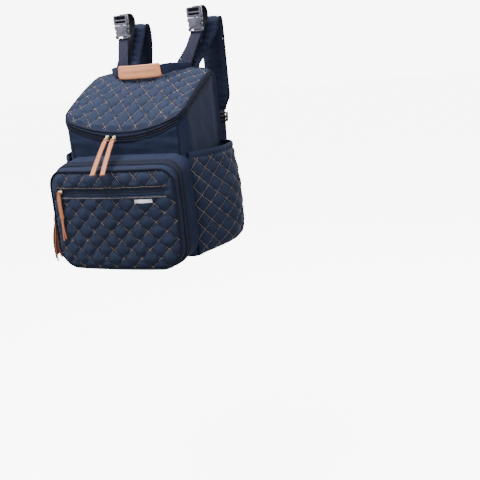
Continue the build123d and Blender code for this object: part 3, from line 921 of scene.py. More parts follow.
def zip_half(name, low, high, body, node, way):
    """One side of the lid's zip: tape folded at its edge, and its row of teeth."""
    line = wall_line(420, 0.2, 148.0)
    out = wall_out(line)
    seam = seam_height(line[:, 0], line[:, 1])
    rows = []
    for t, lift in ((0, 1.1), (0.12, 1.7), (0.45, 1.7), (0.6, 2.3), (0.85, 2.5), (1, 1.4)):
        p = line + out * lift
        p[:, 2] = seam + way * (low + (high - low) * t)
        rows.append(p)
    grid = np.stack(rows, 1)
    s = np.arange(len(line)) * 1.35
    cloth = np.stack([np.repeat(s[:, None], len(rows), 1), grid[..., 2], 0 * grid[..., 0]], -1)
    obj = shell(name, grid, 1.1, dark_cloth, cloth, flip=way < 0)
    settle(obj, body, "zip_tape_navy", node)
    path = line + out * 2.1
    path[:, 2] = seam + way * 0.25
    obj = teeth(f"{name}_teeth", path, tangents(path), (0, 0, -way), out, coil_plastic, reach=1.5)
    settle(obj, body, "zip_tape_navy")


def make_lid_zip():
    zip_half("body_zip_half", 0.5, 6.6, "body", "body_zip_tape", -1)
    zip_half("lid_zip_half", 0.5, 6.4, "lid", "lid_zip_tape", 1)


def crown_line(y, count, inset=0.0):
    """The back panel's outline from the left foot over the arch to the right foot."""
    half = HALF - inset
    side, top = SHOULDER_Z - inset, CROWN_Z - inset
    x = np.linspace(-half, half, 80)
    radius = (half**2 + (top - side) ** 2) / (2 * (top - side))
    z = top - radius + np.sqrt(radius**2 - x**2)
    r = 18.0
    arch = np.stack([x, z], -1)[8:-8]
    rise = np.linspace(inset, side - r, 70)
    left = np.stack([np.full_like(rise, -half), rise], -1)
    start, end = left[-1], arch[0]
    t = np.linspace(0, 1, 14)[1:-1, None]
    knee = np.array([-half, side + 2.5])
    bend = (1 - t) ** 2 * start + 2 * t * (1 - t) * knee + t**2 * end
    half_line = np.concatenate([left, bend, arch[: len(arch) // 2]])
    full = np.concatenate([half_line, (half_line * (-1, 1))[::-1]])
    return even(np.stack([full[:, 0], np.full(len(full), y), full[:, 1]], -1), count)


def make_rear_band():
    count = 420
    grids = []
    ys = np.linspace(151.7, 168.5, 12)
    for y in ys:
        line = crown_line(y, count)
        t = (y - 151.7) / 16.8
        out = unit(np.cross(tangents(line), (0, 1.0, 0)))
        s = np.arange(count) * 2.4
        soft = sin(pi * t) * (1.6 + 0.8 * ripple(s, y, 42, 41))
        roll = 3.0 * (1 - sqrt(max(0.0, 1 - t**6)))
        grids.append(line - out * (soft - roll)[:, None])
    grid = np.stack(grids, 1)
    cloth = np.zeros_like(grid)
    cloth[..., 0] = np.arange(count)[:, None] * 2.4
    cloth[..., 1] = ys
    obj = shell("rear_top_band", grid, 2.6, LINED_PLAIN, cloth, flip=False)
    settle(obj, "body", "plain_navy", "rear_band")


def make_back():
    z = np.linspace(1, 384, 190)
    u = np.linspace(-1, 1, 150)
    u, z = np.meshgrid(u, z, indexing="ij")
    radius = (HALF**2 + 23.0**2) / 46.0
    arch = np.sqrt(np.maximum(radius**2 - np.maximum(radius - (CROWN_Z - z), 0) ** 2, 1.0))
    foot = HALF - 10 + np.sqrt(np.maximum(0, 100 - np.clip(10 - z, 0, 10) ** 2))
    wide = np.minimum(np.minimum(HALF, arch), foot)
    x = u * wide
    edge = np.minimum(wide - np.abs(x), np.minimum(z, CROWN_Z - z))
    y = DEPTH - 0.8 - 2.4 * (1 - fade(edge / 9)) + 0.5 * ripple(x, z, 70, 51) * fade(edge / 14)
    obj = shell("back_wall", np.stack([x, y, z], -1), 2.4, LINED_PLAIN, flat_coords(x, z), flip=True)
    settle(obj, "body", "plain_navy", "back_panel")
    line = crown_line(DEPTH - 0.6, 300)
    line[:, 0] *= 0.996
    line = line[line[:, 2] > 3.5]
    obj = tube("back_binding", line, 2.0, dark_cloth, sides=10)
    settle(obj, "body", "piping_navy")


def make_base():
    x = np.linspace(-HALF + 0.8, HALF - 0.8, 120)
    y = np.linspace(0.8, DEPTH - 3.5, 70)
    x, y = np.meshgrid(x, y, indexing="ij")
    corner = np.maximum(FRONT_R - y, 0)
    wide = HALF - 0.8 - (FRONT_R - np.sqrt(np.maximum(FRONT_R**2 - corner**2, 0)))
    x = x / (HALF - 0.8) * wide
    edge = np.minimum(wide - np.abs(x), np.minimum(y - 0.8, DEPTH - 3.5 - y))
    z = 0.3 + 2.2 * (1 - fade(edge / 10)) + 0.35 * ripple(x, y, 60, 61) * fade(edge / 12)
    obj = shell("base_wall", np.stack([x, y, z], -1), 2.2, plain_cloth, flat_coords(x, y), flip=True)
    settle(obj, "body", "plain_navy", "base_panel")


# ---- Lid --------------------------------------------------------------------------------
LID_CELL, LID_START = (36.6, 40.0), (-8.0, 8.0)


def lid_width(y):
    """Half the body's width at a depth, inside its rounded front corners."""
    corner = np.clip(FRONT_R - np.asarray(y, float), 0, FRONT_R)
    return HALF - (FRONT_R - np.sqrt(FRONT_R**2 - corner**2))


def lid_crown(x, y):
    """The lid's swelling top, from its three arched sections."""
    heights = []
    for _, side, middle in LID_SECTIONS:
        half = 160.0
        rise = middle - side
        radius = (half**2 + rise**2) / (2 * abs(rise))
        arc = radius - np.sqrt(radius**2 - np.asarray(x) ** 2)
        heights.append(middle - arc * (1 if rise > 0 else -1))
    ys = [section[0] for section in LID_SECTIONS]
    a, b, c = heights
    t = (y - ys[0]) / (ys[2] - ys[0])
    return a * 2 * (t - 0.5) * (t - 1) + b * 4 * t * (1 - t) + c * 2 * t * (t - 0.5)


def lid_edge(x, y):
    return np.minimum(lid_width(y) - np.abs(x), y)


def lid_top(x, q):
    """The quilted top. q is the way up the slope from the front edge."""
    y = q * LID_SLANT
    edge = lid_edge(x, y)
    rear = fade((LID_END - y) / 10)
    rim = fade(edge / 8)
    puff = pillows(x, q, LID_CELL, LID_START)
    pucker = 0.8 * ripple(x, q, 10, 73) * (1.15 - puff) + 0.45 * ripple(x, q, 21, 74)
    roll = 4.2 * (1 - np.sqrt(1 - (1 - np.clip(edge / 7, 0, 1)) ** 2))
    h = (3.6 * puff + pucker) * rim * rear + 0.8 * ripple(x, q, 80, 71) * rim - roll
    steep = 0.62 * (1 - fade((y - 90) / 50))
    return np.stack([x, y - h * steep * rim, lid_crown(x, y) + h], -1)


def make_lid():
    last = LID_END / LID_SLANT
    q = np.concatenate([np.linspace(0.4, 26, 26)[:-1], np.arange(26, last, 1.5), [last]])
    u = np.linspace(-1, 1, 221)
    u, q = np.meshgrid(u, q, indexing="ij")
    x = u * (lid_width(q * LID_SLANT) - 0.4)
    # Painted shade in the quilting's valleys and along its rim, painted highlight on the puffed crests.
    tone = 0.4 + 0.2 * pillows(x, q, LID_CELL, LID_START) * fade(lid_edge(x, q * LID_SLANT) / 8)
    obj = shell("quilted_lid", lid_top(x, q), 2.4, LINED_QUILT, flat_coords(x, q), tone)
    settle(obj, "lid", "quilted_navy", "lid_panel")

    def inside(p, s):
        return (lid_edge(p, s * LID_SLANT) > 2) & (s * LID_SLANT < LID_END - 2)

    lines = quilt_lines(lid_top, inside, LID_CELL, LID_START, (-145, 0), (145, last))
    obj = stitches("lid_stitching", lines, thread, lift=0.5)
    settle(obj, "lid", "quilted_navy")

    line = wall_line(460, 0.2, LID_END - 0.5)
    out = wall_out(line)
    inset = line - out * 0.8
    y_in = np.clip(line[:, 1], 0.3, LID_END)
    x_in = np.clip(line[:, 0], -lid_width(y_in) + 0.5, lid_width(y_in) - 0.5)
    top = lid_top(x_in, y_in / LID_SLANT)[:, 2]
    seam = seam_height(line[:, 0], line[:, 1])
    rows, s = [], np.arange(len(line)) * 1.3
    for t in np.linspace(0, 1, 16):
        z = seam + 2.2 + (top - seam - 2.2) * t
        push = 0.2 + 1.5 * sin(pi * t) + 0.5 * ripple(s, z * 2, 40, 72) * sin(pi * t)
        p = inset + out * push[:, None]
        p[:, 2] = z
        rows.append(p)
    grid = np.stack(rows, 1)
    cloth = np.stack([np.repeat(s[:, None], 16, 1), grid[..., 2], 0 * grid[..., 0]], -1)
    obj = shell("lid_side_band", grid, 2.2, LINED_PLAIN, cloth)
    settle(obj, "lid", "plain_navy")
    pipe = line - out * 0.3
    pipe[:, 2] = top + 0.6
    obj = tube("lid_piping", pipe, 1.9, dark_cloth, sides=10)
    settle(obj, "lid", "piping_navy")
    x = np.linspace(-HALF + 3, HALF - 3, 120)
    back = lid_top(x, np.full_like(x, LID_END / LID_SLANT))
    back[:, 1] = LID_END - 0.8
    obj = tube("lid_rear_binding", back, 1.6, dark_cloth, sides=10)
    settle(obj, "lid", "piping_navy")


# ---- Side pockets -----------------------------------------------------------------------
SIDE_CELL, SIDE_START = (33.0, 36.0), (20.0, 22.0)
SIDE_FOOT = 6.0


def side_reach(z):
    """How far a side pocket stands out at a height: full low down, drawn in at the top."""
    t = np.clip((z - SIDE_FOOT) / 40, 0, 1)
    foot = np.sqrt(np.maximum(1 - (1 - t) ** 2, 0))
    body = 55 - 10 * fade((z - 120) / 110) + 2 * np.sin(pi * np.clip((z - 30) / 150, 0, 1))
    return 8 + (body - 8) * foot


def side_pocket_surface(sign, lift=0.0):
    def surface(s, z):
        """s runs round the pocket from its front edge to its back edge."""
        t = np.clip(s / SIDE_RUN, 0, 1)
        reach = side_reach(z)
        low, high = 5.0, 165.0
        bow = 3 * (1 - t) ** 2 * t * 0.8 + 3 * (1 - t) * t**2 * 1.75
        x = HALF + 0.6 + reach * bow
        y = (
            (1 - t) ** 3 * low
            + 3 * (1 - t) ** 2 * t * (low + 12)
            + 3 * (1 - t) * t**2 * (high - 12)
            + t**3 * high
        )
        edge = np.minimum(np.minimum(s, SIDE_RUN - s), np.minimum(z - SIDE_FOOT, SIDE_TOP - HEM - z))
        rim = fade(edge / 9)
        puff = pillows(s, z, SIDE_CELL, SIDE_START)
        pucker = 0.75 * ripple(s, z, 11, 83) * (1.15 - puff) + 0.45 * ripple(s, z, 24, 84)
        h = rim * (3.2 * puff + pucker + 1.3 * ripple(s, z, 70, 81 + sign)) + lift
        return np.stack([sign * (x + h), y, z], -1)

    return surface


def make_side_pocket(side, sign):
    surface = side_pocket_surface(sign)
    s = np.linspace(0, SIDE_RUN, 150)
    foot_rows = np.linspace(SIDE_FOOT + 0.2, 34, 28)[:-1]
    rows = np.arange(34, SIDE_TOP - HEM, 1.6)
    z = np.concatenate([foot_rows, rows, [SIDE_TOP - HEM + 1]])
    s, z = np.meshgrid(s, z, indexing="ij")
    # Painted shade in the quilting's valleys, painted highlight on the puffed crests.
    tone = 0.36 + 0.2 * pillows(s, z, SIDE_CELL, SIDE_START)
    obj = shell(
        f"side_pocket_quilt_{side}", surface(s, z), 2.6, LINED_QUILT, flat_coords(s, z), tone, flip=sign < 0
    )
    settle(obj, "body", "quilted_navy", f"side_pocket_{side}")

    def inside(p, q):
        return (np.minimum(p, SIDE_RUN - p) > 3) & (q > SIDE_FOOT + 3) & (q < SIDE_TOP - HEM - 2)

    lines = quilt_lines(surface, inside, SIDE_CELL, SIDE_START, (0, 0), (SIDE_RUN, 215))
    if sign < 0:
        lines = [(line, -up) for line, up in lines]
    obj = stitches(f"side_stitching_{side}", lines, thread, lift=0.5)
    settle(obj, "body", "quilted_navy")

    s = np.linspace(0, SIDE_RUN, 300)
    z = np.linspace(SIDE_TOP - HEM - 1, SIDE_TOP + 1.5, 14)
    s, z = np.meshgrid(s, z, indexing="ij")
    t = np.clip((z - z.min()) / (z.max() - z.min()), 0, 1)
    plain = side_pocket_surface(sign, 1.0)(s, np.full_like(z, SIDE_TOP - HEM - 1))
    pull = 0.2 + fade((s - 70) / 50)
    waves = 0.65 * np.sin(s * 0.66 + 1.4 * np.sin(s * 0.11))
    gathers = waves * pull * fade(np.minimum(s, SIDE_RUN - s) / 10)
    push = 1.0 * np.sin(pi * t) + gathers * np.sqrt(np.abs(np.sin(pi * t))) - 1.2 * t
    plain[..., 0] += sign * push
    plain[..., 2] = z
    obj = shell(f"side_pocket_gather_{side}", plain, 2.4, LINED_QUILT, flat_coords(s, z), flip=sign < 0)
    settle(obj, "body", "piping_navy", f"side_pocket_hem_{side}")


# ---- Straps over the bar ----------------------------------------------------------------
def ribbon_piece(name, line, width, thick, material, across=(1, 0, 0), corner=None, tone=None):
    section = round_section(width, thick, corner or thick / 2)
    if tone is None:
        edge = np.abs(section[:, 0]) > width / 2 - 1.2
        tone = np.where(edge, 0.3, 0.5)
    return sweep(name, line, across, section, material, tone=tone)


def edge_rows(line, across, offset, height):
    """The two lines of stitching along a flat strip, on the side that its normal faces."""
    n = len(line)
    across = np.broadcast_to(unit(np.asarray(across, float)), (n, 3))
    out = unit(np.cross(tangents(line), across))
    rows = []
    for way in (-1, 1):
        rows.append((line + across * offset * way + out * height, out))
    return rows


def bar_loop_line(x, sign):
    """Webbing from the plug's slot, over the bar and down behind it to the bag's edge."""
    middle = BAR_R + WEB / 2 + 0.1
    slot, root = np.array([181.8, 495.9]), np.array([168.3, ROOT_Z])
    angles = []
    for point, way in ((slot, 1), (root, -1)):
        dy, dz = BAR_Y - point[0], point[1] - BAR_Z
        reach = degrees(np.arccos(middle / sqrt(dy * dy + dz * dz)))
        angles.append(degrees(np.arctan2(dz, dy)) + way * reach)
    first, last = angles[0], angles[1] + 360
    a = np.radians(np.linspace(first, last, 60))
    arc = np.stack([np.full_like(a, x), BAR_Y - middle * np.cos(a), BAR_Z + middle * np.sin(a)], -1)
    head = np.linspace((x, *slot), arc[0], 12)[:-1]
    t = np.linspace(0, 1, 50)[1:, None]
    tail = arc[-1] * (1 - t) + np.array([sign * ROOT_X, *root]) * t
    return even(np.concatenate([head, arc, tail]), 170)


def make_bar_straps(side, sign):
    x = LOOP_X[side]
    line = bar_loop_line(x, sign)
    obj = ribbon_piece(f"bar_loop_{side}", line, WEB_W, WEB, bar_webbing_painted_shade)
    settle(obj, "body", "webbing_navy", f"stroller_loop_{side}")
    low = np.array([sign * ROOT_X, 164.3, ROOT_Z])
    high = np.array([x, BUCKLE_Y, 451.4])
    t = np.linspace(0, 1, 60)[:, None]
    line = low * (1 - t) + high * t
    line[:, 1] -= 1.6 * np.sin(pi * t[:, 0])
    obj = ribbon_piece(f"front_webbing_{side}", line, WEB_W, WEB, webbing)
    settle(obj, "body", "webbing_navy", f"stroller_webbing_{side}")
    line = np.linspace((x - 3.0, BUCKLE_Y - 0.6, 430), (x, BUCKLE_Y + 2.6, 451.2), 30)
    obj = ribbon_piece(f"webbing_tail_{side}", line, WEB_W, WEB, webbing)
    settle(obj, "body", "webbing_navy")
    lines = []
    for z in (433, 436.5):
        row_x = np.linspace(-11, 11, 20)
        centre = x - 3.0 + 0.6 * (z - 430) / 4
        spots = [centre + row_x, np.full_like(row_x, BUCKLE_Y - 3.3), np.full_like(row_x, z)]
        lines.append((np.stack(spots, -1), np.array((0, -1.0, 0))))
    obj = stitches(f"webbing_bartack_{side}", lines, navy_thread, pitch=1.7, size=1.5, radius=0.35)
    settle(obj, "body", "webbing_navy")


def plate(name, outline, y_from, y_to, material, bevel=0.8, holes=()):
    """A moulded plate: a front-view outline with holes, from one depth to another, edges rounded."""
    work = bmesh.new()
    loops = []
    for points in (outline, *holes):
        verts = [work.verts.new(Vector(row((px, y_from, pz)))) for px, pz in points]
        loops += [work.edges.new((verts[k], verts[(k + 1) % len(verts)])) for k in range(len(verts))]
    filled = bmesh.ops.triangle_fill(work, edges=loops, use_beauty=True)
    faces = [f for f in filled["geom"] if isinstance(f, bmesh.types.BMFace)]
    pushed = bmesh.ops.extrude_face_region(work, geom=faces)
    moved = [v for v in pushed["geom"] if isinstance(v, bmesh.types.BMVert)]
    bmesh.ops.translate(work, verts=moved, vec=(0, (y_to - y_from) / 1000, 0))
    bmesh.ops.recalc_face_normals(work, faces=work.faces)
    bmesh.ops.dissolve_limit(work, angle_limit=radians(2), verts=work.verts, edges=work.edges)
    sharp = [e for e in work.edges if len(e.link_faces) == 2 and e.calc_face_angle() > radians(50)]
    bmesh.ops.bevel(
        work, geom=sharp, offset=bevel / 1000, segments=3, profile=0.5, affect="EDGES", clamp_overlap=True
    )
    data = bpy.data.meshes.new(name)
    work.to_mesh(data)
    work.free()
    data.materials.append(material)
    data.polygons.foreach_set("use_smooth", np.ones(len(data.polygons), bool))
    data.set_sharp_from_angle(angle=radians(40))
    obj = bpy.data.objects.new(name, data)
    bpy.context.scene.collection.objects.link(obj)
    return obj


def rounded(x_low, x_high, z_low, z_high, r, steps=5):
    """A rounded rectangle as a closed front-view outline."""
    section = round_section(x_high - x_low, z_high - z_low, r, steps)
    return [(x + (x_low + x_high) / 2, z + (z_low + z_high) / 2) for x, z in section]


def buckle_side(x, sign):
    """The socket's outline on one side, from its foot up: waisted where the prongs show."""
    points = [(12.5, 452.0), (15.4, 452.6), (17.0, 455.2), (17.0, 458.0)]
    points += [(15.6, 460.0), (13.2, 462.2), (12.3, 466.0), (13.2, 469.8), (15.7, 472.2), (17.0, 474.4)]
    points += [(17.0, 478.4), (16.2, 480.8)]
    return [(x + sign * px, pz) for px, pz in points]


def make_buckle(side):
    x = LOOP_X[side]

    def part(name, outline, front, back, bevel, holes=(), node=None):
        """One plate of the buckle, between two depths measured from its middle."""
        low, high = BUCKLE_Y + front, BUCKLE_Y + back
        obj = plate(f"buckle_{name}", outline, low, high, silver_plastic, bevel, holes)
        settle(obj, "body", "buckle_plastic", *([node] if node else []))

    outline = buckle_side(x, 1) + buckle_side(x, -1)[::-1]
    slot = rounded(x - 13.2, x + 13.2, 454.2, 456.4, 0.8, 3)
    part(f"socket_front_{side}", outline, -4.5, -2.75, 0.7, [slot], f"buckle_socket_{side}")
    part(f"socket_back_{side}", outline, 2.75, 4.5, 0.7, [slot])
    foot = rounded(x - 16.9, x + 16.9, 452.0, 459.0, 1.6)
    part(f"socket_foot_{side}", foot, -2.9, 2.9, 0.4, [slot])
    for name, sign in (("left", -1), ("right", 1)):
        inner, outer = x + sign * 14.6, x + sign * 16.95
        cheek = [(inner, 473.6), (outer, 473.6), (outer, 480.8), (inner, 480.8)]
        part(f"cheek_{side}_{name}", cheek, -2.9, 2.9, 0.3)
    window = rounded(x - 6.5, x + 6.5, 463.5, 476.5, 2.5)
    part(f"crest_{side}", window, -5.1, -4.3, 0.5)

    top = rounded(x - 17, x + 17, 481.2, 503.0, 3.2, 6)
    slots = ((486.0, 490.5), (493.5, 500.3))
    ladder = [rounded(x - 13.2, x + 13.2, low, high, 1.0, 3) for low, high in slots]
    part(f"ladder_{side}", top, -4.2, 4.2, 1.1, ladder, f"buckle_plug_{side}")
    line = np.linspace((x, BUCKLE_Y + 1.4, 485.2), (x, BUCKLE_Y + 2.4, 501.5), 24)
    obj = ribbon_piece(f"bar_loop_tail_{side}", line, WEB_W, WEB, bar_webbing_painted_shade)
    settle(obj, "body", "webbing_navy")
    points = ((-2.4, 460.5), (-1.2, 459.6), (1.2, 459.6), (2.4, 460.5), (2.6, 482.0), (-2.6, 482.0))
    part(f"tongue_{side}", [(x + px, pz) for px, pz in points], -1.8, 1.8, 0.5)
    for prong in ("inner", "outer"):
        node = f"buckle_prong_{side}_{prong}"
        obj = refine(node, f"buckle_arm_{side}_{prong}", silver_plastic, 0.5)


# ---- Shoulder straps --------------------------------------------------------------------
STRAP_W, STRAP_T = 56.0, 12.0


def shoulder_line(side, sign, count):
    root, top, end = sign * ROOT_X, LOOP_X[side] + 1, STRAP_END_X[side]
    path = [(root, 177.5, 363), (root, 178.5, 384)]
    path += [(root + (top - root) * t, 178.5 + 46 * t, 384 + 66 * t) for t in (0.3, 0.65, 1)]
    for a in np.radians((35, 90, 145)):
        path.append((top, 248 - 12.5 * cos(a), 466 + 12.5 * sin(a)))
    path += [(top + (end - top) * t, 260 - 8 * t, 440 - 165 * t) for t in (0, 0.33, 0.66, 1)]
    return curve(path, count)


def pad_frame(line):
    along = tangents(line)
    across = np.broadcast_to((1.0, 0, 0), line.shape)
    out = unit(np.cross(along, across))
    return along, unit(np.cross(out, along)), out


def puffed(obj, cap, frames=20, pressure=4.0, voxel=0.0045):
    """Swells a pad with cloth pressure, and lets no point move further than a cap."""
    remesh = obj.modifiers.new("remesh", "REMESH")
    remesh.mode = "VOXEL"
    remesh.voxel_size = voxel
    apply_modifiers(obj)
    rest = coordinates(obj)
    cloth = obj.modifiers.new("cloth", "CLOTH")
    cloth.settings.use_pressure = True
    cloth.settings.uniform_pressure_force = pressure
    cloth.settings.effector_weights.gravity = 0
    cloth.settings.mass = 0.3
    cloth.point_cache.frame_start, cloth.point_cache.frame_end = 1, frames
    for k in range(1, frames + 1):
        bpy.context.scene.frame_set(k)
    apply_modifiers(obj)
    bpy.context.scene.frame_set(1)
    moved = coordinates(obj)
    step = moved - rest
    size = np.linalg.norm(step, axis=1, keepdims=True)
    moved = rest + step * np.minimum(1, cap / 1000 / np.maximum(size, 1e-9))
    obj.data.vertices.foreach_set("co", moved.astype(np.float32).ravel())
    smooth = obj.modifiers.new("subdivide", "SUBSURF")
    smooth.levels = smooth.render_levels = 1
    apply_modifiers(obj)


def coordinates(obj):
    data = np.zeros(len(obj.data.vertices) * 3, np.float32)
    obj.data.vertices.foreach_get("co", data)
    return data.reshape(-1, 3).astype(float)


def apply_modifiers(obj):
    """Leaves the piece as the plain mesh that its modifiers make."""
    graph = bpy.context.evaluated_depsgraph_get()
    graph.update()
    data = bpy.data.meshes.new_from_object(obj.evaluated_get(graph))
    old = obj.data
    obj.modifiers.clear()
    obj.data = data
    bpy.data.meshes.remove(old)


def edge_reach(near, a, step=12):
    """How far out each point's own edge of the pad is after the simulation, along its line."""
    reach = np.ones(len(a))
    for way in (-1, 1):
        here = a * way >= 0
        stations = np.unique(near[here] // step)
        widest = [(a[here] * way)[near[here] // step == k].max() for k in stations]
        reach[here] = np.interp(near[here], (stations + 0.5) * step, widest)
    return reach


def dress_pad(obj, line, half, push, material):
    """After the simulation: creases along the pad's line, then its surface coordinates."""
    points = coordinates(obj) * 1000 + (0, BAR_Y, BAR_Z)
    along, across, out = pad_frame(line)
    near = np.zeros(len(points), int)
    for start in range(0, len(points), 4000):
        part = points[start : start + 4000]
        near[start : start + 4000] = np.argmin(((part[:, None] - line[None]) ** 2).sum(-1), axis=1)
    rel = points - line[near]
    a = (rel * across[near]).sum(-1)
    wider = half[near] / edge_reach(near, a)
    points = points + across[near] * (a * (wider - 1))[:, None]
    a = a * wider
    h = (rel * out[near]).sum(-1)
    run = distances(line)
    s = run[near] + (rel * along[near]).sum(-1)
    points = points + out[near] * (push(s, a) * np.sign(h) * fade(np.abs(h) / 2.5))[:, None]
    obj.data.vertices.foreach_set("co", row(points).astype(np.float32).ravel())
    obj.data.materials.clear()
    obj.data.materials.append(material)
    store(obj, np.stack([a, s, h], -1), np.full(len(points), 0.5))


def make_shoulder_strap(side, sign):
    line = shoulder_line(side, sign, 240)
    thin = pad_section(STRAP_W - 5, STRAP_T - 3.5)
    obj = sweep(f"padded_strap_{side}", line, (1, 0, 0), thin, plain_cloth)
    puffed(obj, 3.0)
    fine = shoulder_line(side, sign, 500)
    total = length_of(fine)

    def creases(s, a):
        front = fade((total * 0.46 - s) / 60)
        ruche = 0.9 * np.sin(s * 0.42 + 1.1 * np.sin(a * 0.16 + sign) + 0.6 * np.sin(s * 0.05))
        cross_seam = 1.8 * np.exp(-(((s - (total - 27)) / 1.6) ** 2))
        edge_seams = 1.5 * np.exp(-(((np.abs(a) - 20.5) / 1.2) ** 2))
        padding = ruche * (0.3 + 1.1 * front) * fade((27 - np.abs(a)) / 8)
        return padding + (-cross_seam - edge_seams) + 0.6 * ripple(s, a, 40, 101 + sign)

    run = np.linspace(0, total, 500)
    half = (STRAP_W / 2 - 1.5) * (1 - 0.48 * fade((run - (total - 40)) / 38) ** 1.5)
    dress_pad(obj, fine, half, creases, plain_cloth)
    settle(obj, "body", "plain_navy", f"shoulder_strap_{side}")
    _, across, out = pad_frame(fine)
    for k, way in enumerate((-1, 1)):
        edge = even(fine + across * way * half[:, None], 260)
        obj = tube(f"strap_binding_{side}_{k}", edge, 1.9, dark_cloth, sides=8)
        settle(obj, "body", "piping_navy")
    lines = []
    for way in (-1, 1):
        for face_way in (-1, 1):
            spots = fine + across * way * (half[:, None] - 6) + out * face_way * (STRAP_T / 2 - 1.3)
            lines.append((spots[:460], (out * face_way)[:460]))
    obj = stitches(f"strap_stitching_{side}", lines, navy_thread, pitch=3.4, size=2.6, radius=0.32, lift=0.2)
    settle(obj, "body", "plain_navy")


def webbing_line(side, sign, count=200):
    """Webbing from the shoulder strap's end down to the bag's bottom corner."""
    end = STRAP_END_X[side]
    a, b = np.array([end, 251.3, 271.5]), np.array([end, 245.0, 177.0])
    c, d = np.array([sign * ANCHOR_X, 185.0, 90.0]), np.array([sign * ANCHOR_X, 175.5, 36.0])
    t = np.linspace(0, 1, 400)[:, None]
    line = a * (1 - t) ** 3 + 3 * b * t * (1 - t) ** 2 + 3 * c * t**2 * (1 - t) + d * t**3
    knee = line[120]
    lead = a + (knee - a) * np.linspace(0, 1, 40)[:, None]
    return even(np.concatenate([lead[:-1], line[120:]]), count)


def make_strap_webbing(side, sign):
    line = webbing_line(side, sign)
    sewn_in = line[0] + unit(line[0] - line[6]) * 18
    line = np.concatenate([np.linspace(sewn_in, line[0], 12)[:-1], line])
    obj = ribbon_piece(f"lower_webbing_{side}", line, WEB_W, WEB, webbing)
    settle(obj, "body", "webbing_navy", f"strap_webbing_{side}")
    obj = refine(f"adjuster_{side}", f"slide_{side}", black_plastic, 0.6)
    x = sign * ANCHOR_X
    grid = np.zeros((24, 24, 3))
    for i, u in enumerate(np.linspace(0, 1, 24)):
        for j, v in enumerate(np.linspace(0, 1, 24)):
            px = x - 16 + 27 * u
            pz = 26 + v * (14 + 12 * u)
            rim = min(1.0, 6 * min(u, 1 - u, v, 1 - v) + 0.1)
            grid[i, j] = (px, DEPTH + 1.2 + 1.3 * rim, pz)
    cloth = flat_coords(grid[..., 0], grid[..., 2])
    obj = shell(f"strap_tab_{side}", grid, 1.0, plain_cloth, cloth, flip=True)
    settle(obj, "body", "plain_navy", f"strap_anchor_{side}")
    box = [(x - 12, 30), (x + 8, 30), (x + 8, 46), (x - 12, 38), (x - 12, 30)]
    ring = even(np.array([(px, DEPTH + 2.7, pz) for px, pz in box], float), 80)
    cross = even(np.array([(x - 12, DEPTH + 2.7, 30), (x + 8, DEPTH + 2.7, 46)], float), 30)
    back = np.array((0, 1.0, 0))
    lines = [(ring, back), (cross, back)]
    obj = stitches(f"tab_stitching_{side}", lines, navy_thread, pitch=2.8, size=2.2)
    settle(obj, "body", "plain_navy")


# ---- Back pad ---------------------------------------------------------------------------
def make_back_pad():
    """A mesh pad: swelled by simulation, then drawn in along its sewn channels."""
    z = bunched(51.5, 338.5, 2.6, 26)
    u = np.linspace(-1, 1, 90)
    u, z = np.meshgrid(u, z, indexing="ij")
    x = u * half_width(z - 50, 290, 104, 30, 30)
    y = np.full_like(x, DEPTH + 6.6)
    obj = shell("mesh_back_pad", np.stack([x, y, z], -1), 4.6, back_mesh, flat_coords(x, z), flip=True)
    puffed(obj, 2.5)
    points = coordinates(obj) * 1000 + (0, BAR_Y, BAR_Z)
    x, z = points[:, 0], points[:, 2]
    wide = half_width(np.clip(z - 50, 0, 290), 290, 105, 30, 30)
    edge = np.minimum(wide - np.abs(x), np.minimum(z - 50, 340 - z))
    channel = np.abs(np.sin(pi * (z - 50) / 48.3)) ** 0.4 * fade((np.abs(x) - 3) / 9)
    full = (0.25 + 0.75 * fade(edge / 12)) * (0.3 + 0.7 * channel)
    lift = np.maximum(points[:, 1] - DEPTH - 0.8, 0)
    points[:, 1] = DEPTH + 0.8 + lift * np.where(lift > 2.5, full, 1) * 1.15
    obj.data.vertices.foreach_set("co", row(points).astype(np.float32).ravel())
    obj.data.materials.clear()
    obj.data.materials.append(back_mesh)
    # Painted shade in the sewn channels and round the rim, where the pad is drawn in.
    store(obj, np.stack([x, z, 0 * x], -1), 0.3 + 0.25 * full)
    settle(obj, "body", "mesh_pad", "back_pad")
    section = round_section(206, 288, 30, 12)
    loop = np.stack([section[:, 0], np.full(len(section), DEPTH + 2.2), section[:, 1] + 195], -1)
    line = even(np.concatenate([loop, loop[:1]]), 400, True)
    obj = tube("back_pad_binding", line, 2.0, dark_cloth, closed=True, sides=10)
    settle(obj, "body", "piping_navy")


def store(obj, cloth, tone):
    """The piece's surface coordinates in metres and its tone, for the materials."""
    for name in ("cloth", "tone"):
        if obj.data.attributes.get(name):
            obj.data.attributes.remove(obj.data.attributes[name])
    layer = obj.data.attributes.new("cloth", "FLOAT_VECTOR", "POINT")
    layer.data.foreach_set("vector", (np.asarray(cloth, float) / 1000).astype(np.float32).ravel())
    layer = obj.data.attributes.new("tone", "FLOAT", "POINT")
    layer.data.foreach_set("value", np.asarray(tone, np.float32))
    obj.data.polygons.foreach_set("use_smooth", np.ones(len(obj.data.polygons), bool))
    obj.data.update()


# ---- Handle -----------------------------------------------------------------------------
def handle_line(share, count):
    t = np.linspace(-share, share, count)
    rise = np.abs(t) ** 3
    return np.stack([HANDLE_X * t, HANDLE_Y + (HINGE_Y - HANDLE_Y) * rise, HANDLE_Z + 10 * rise], -1)


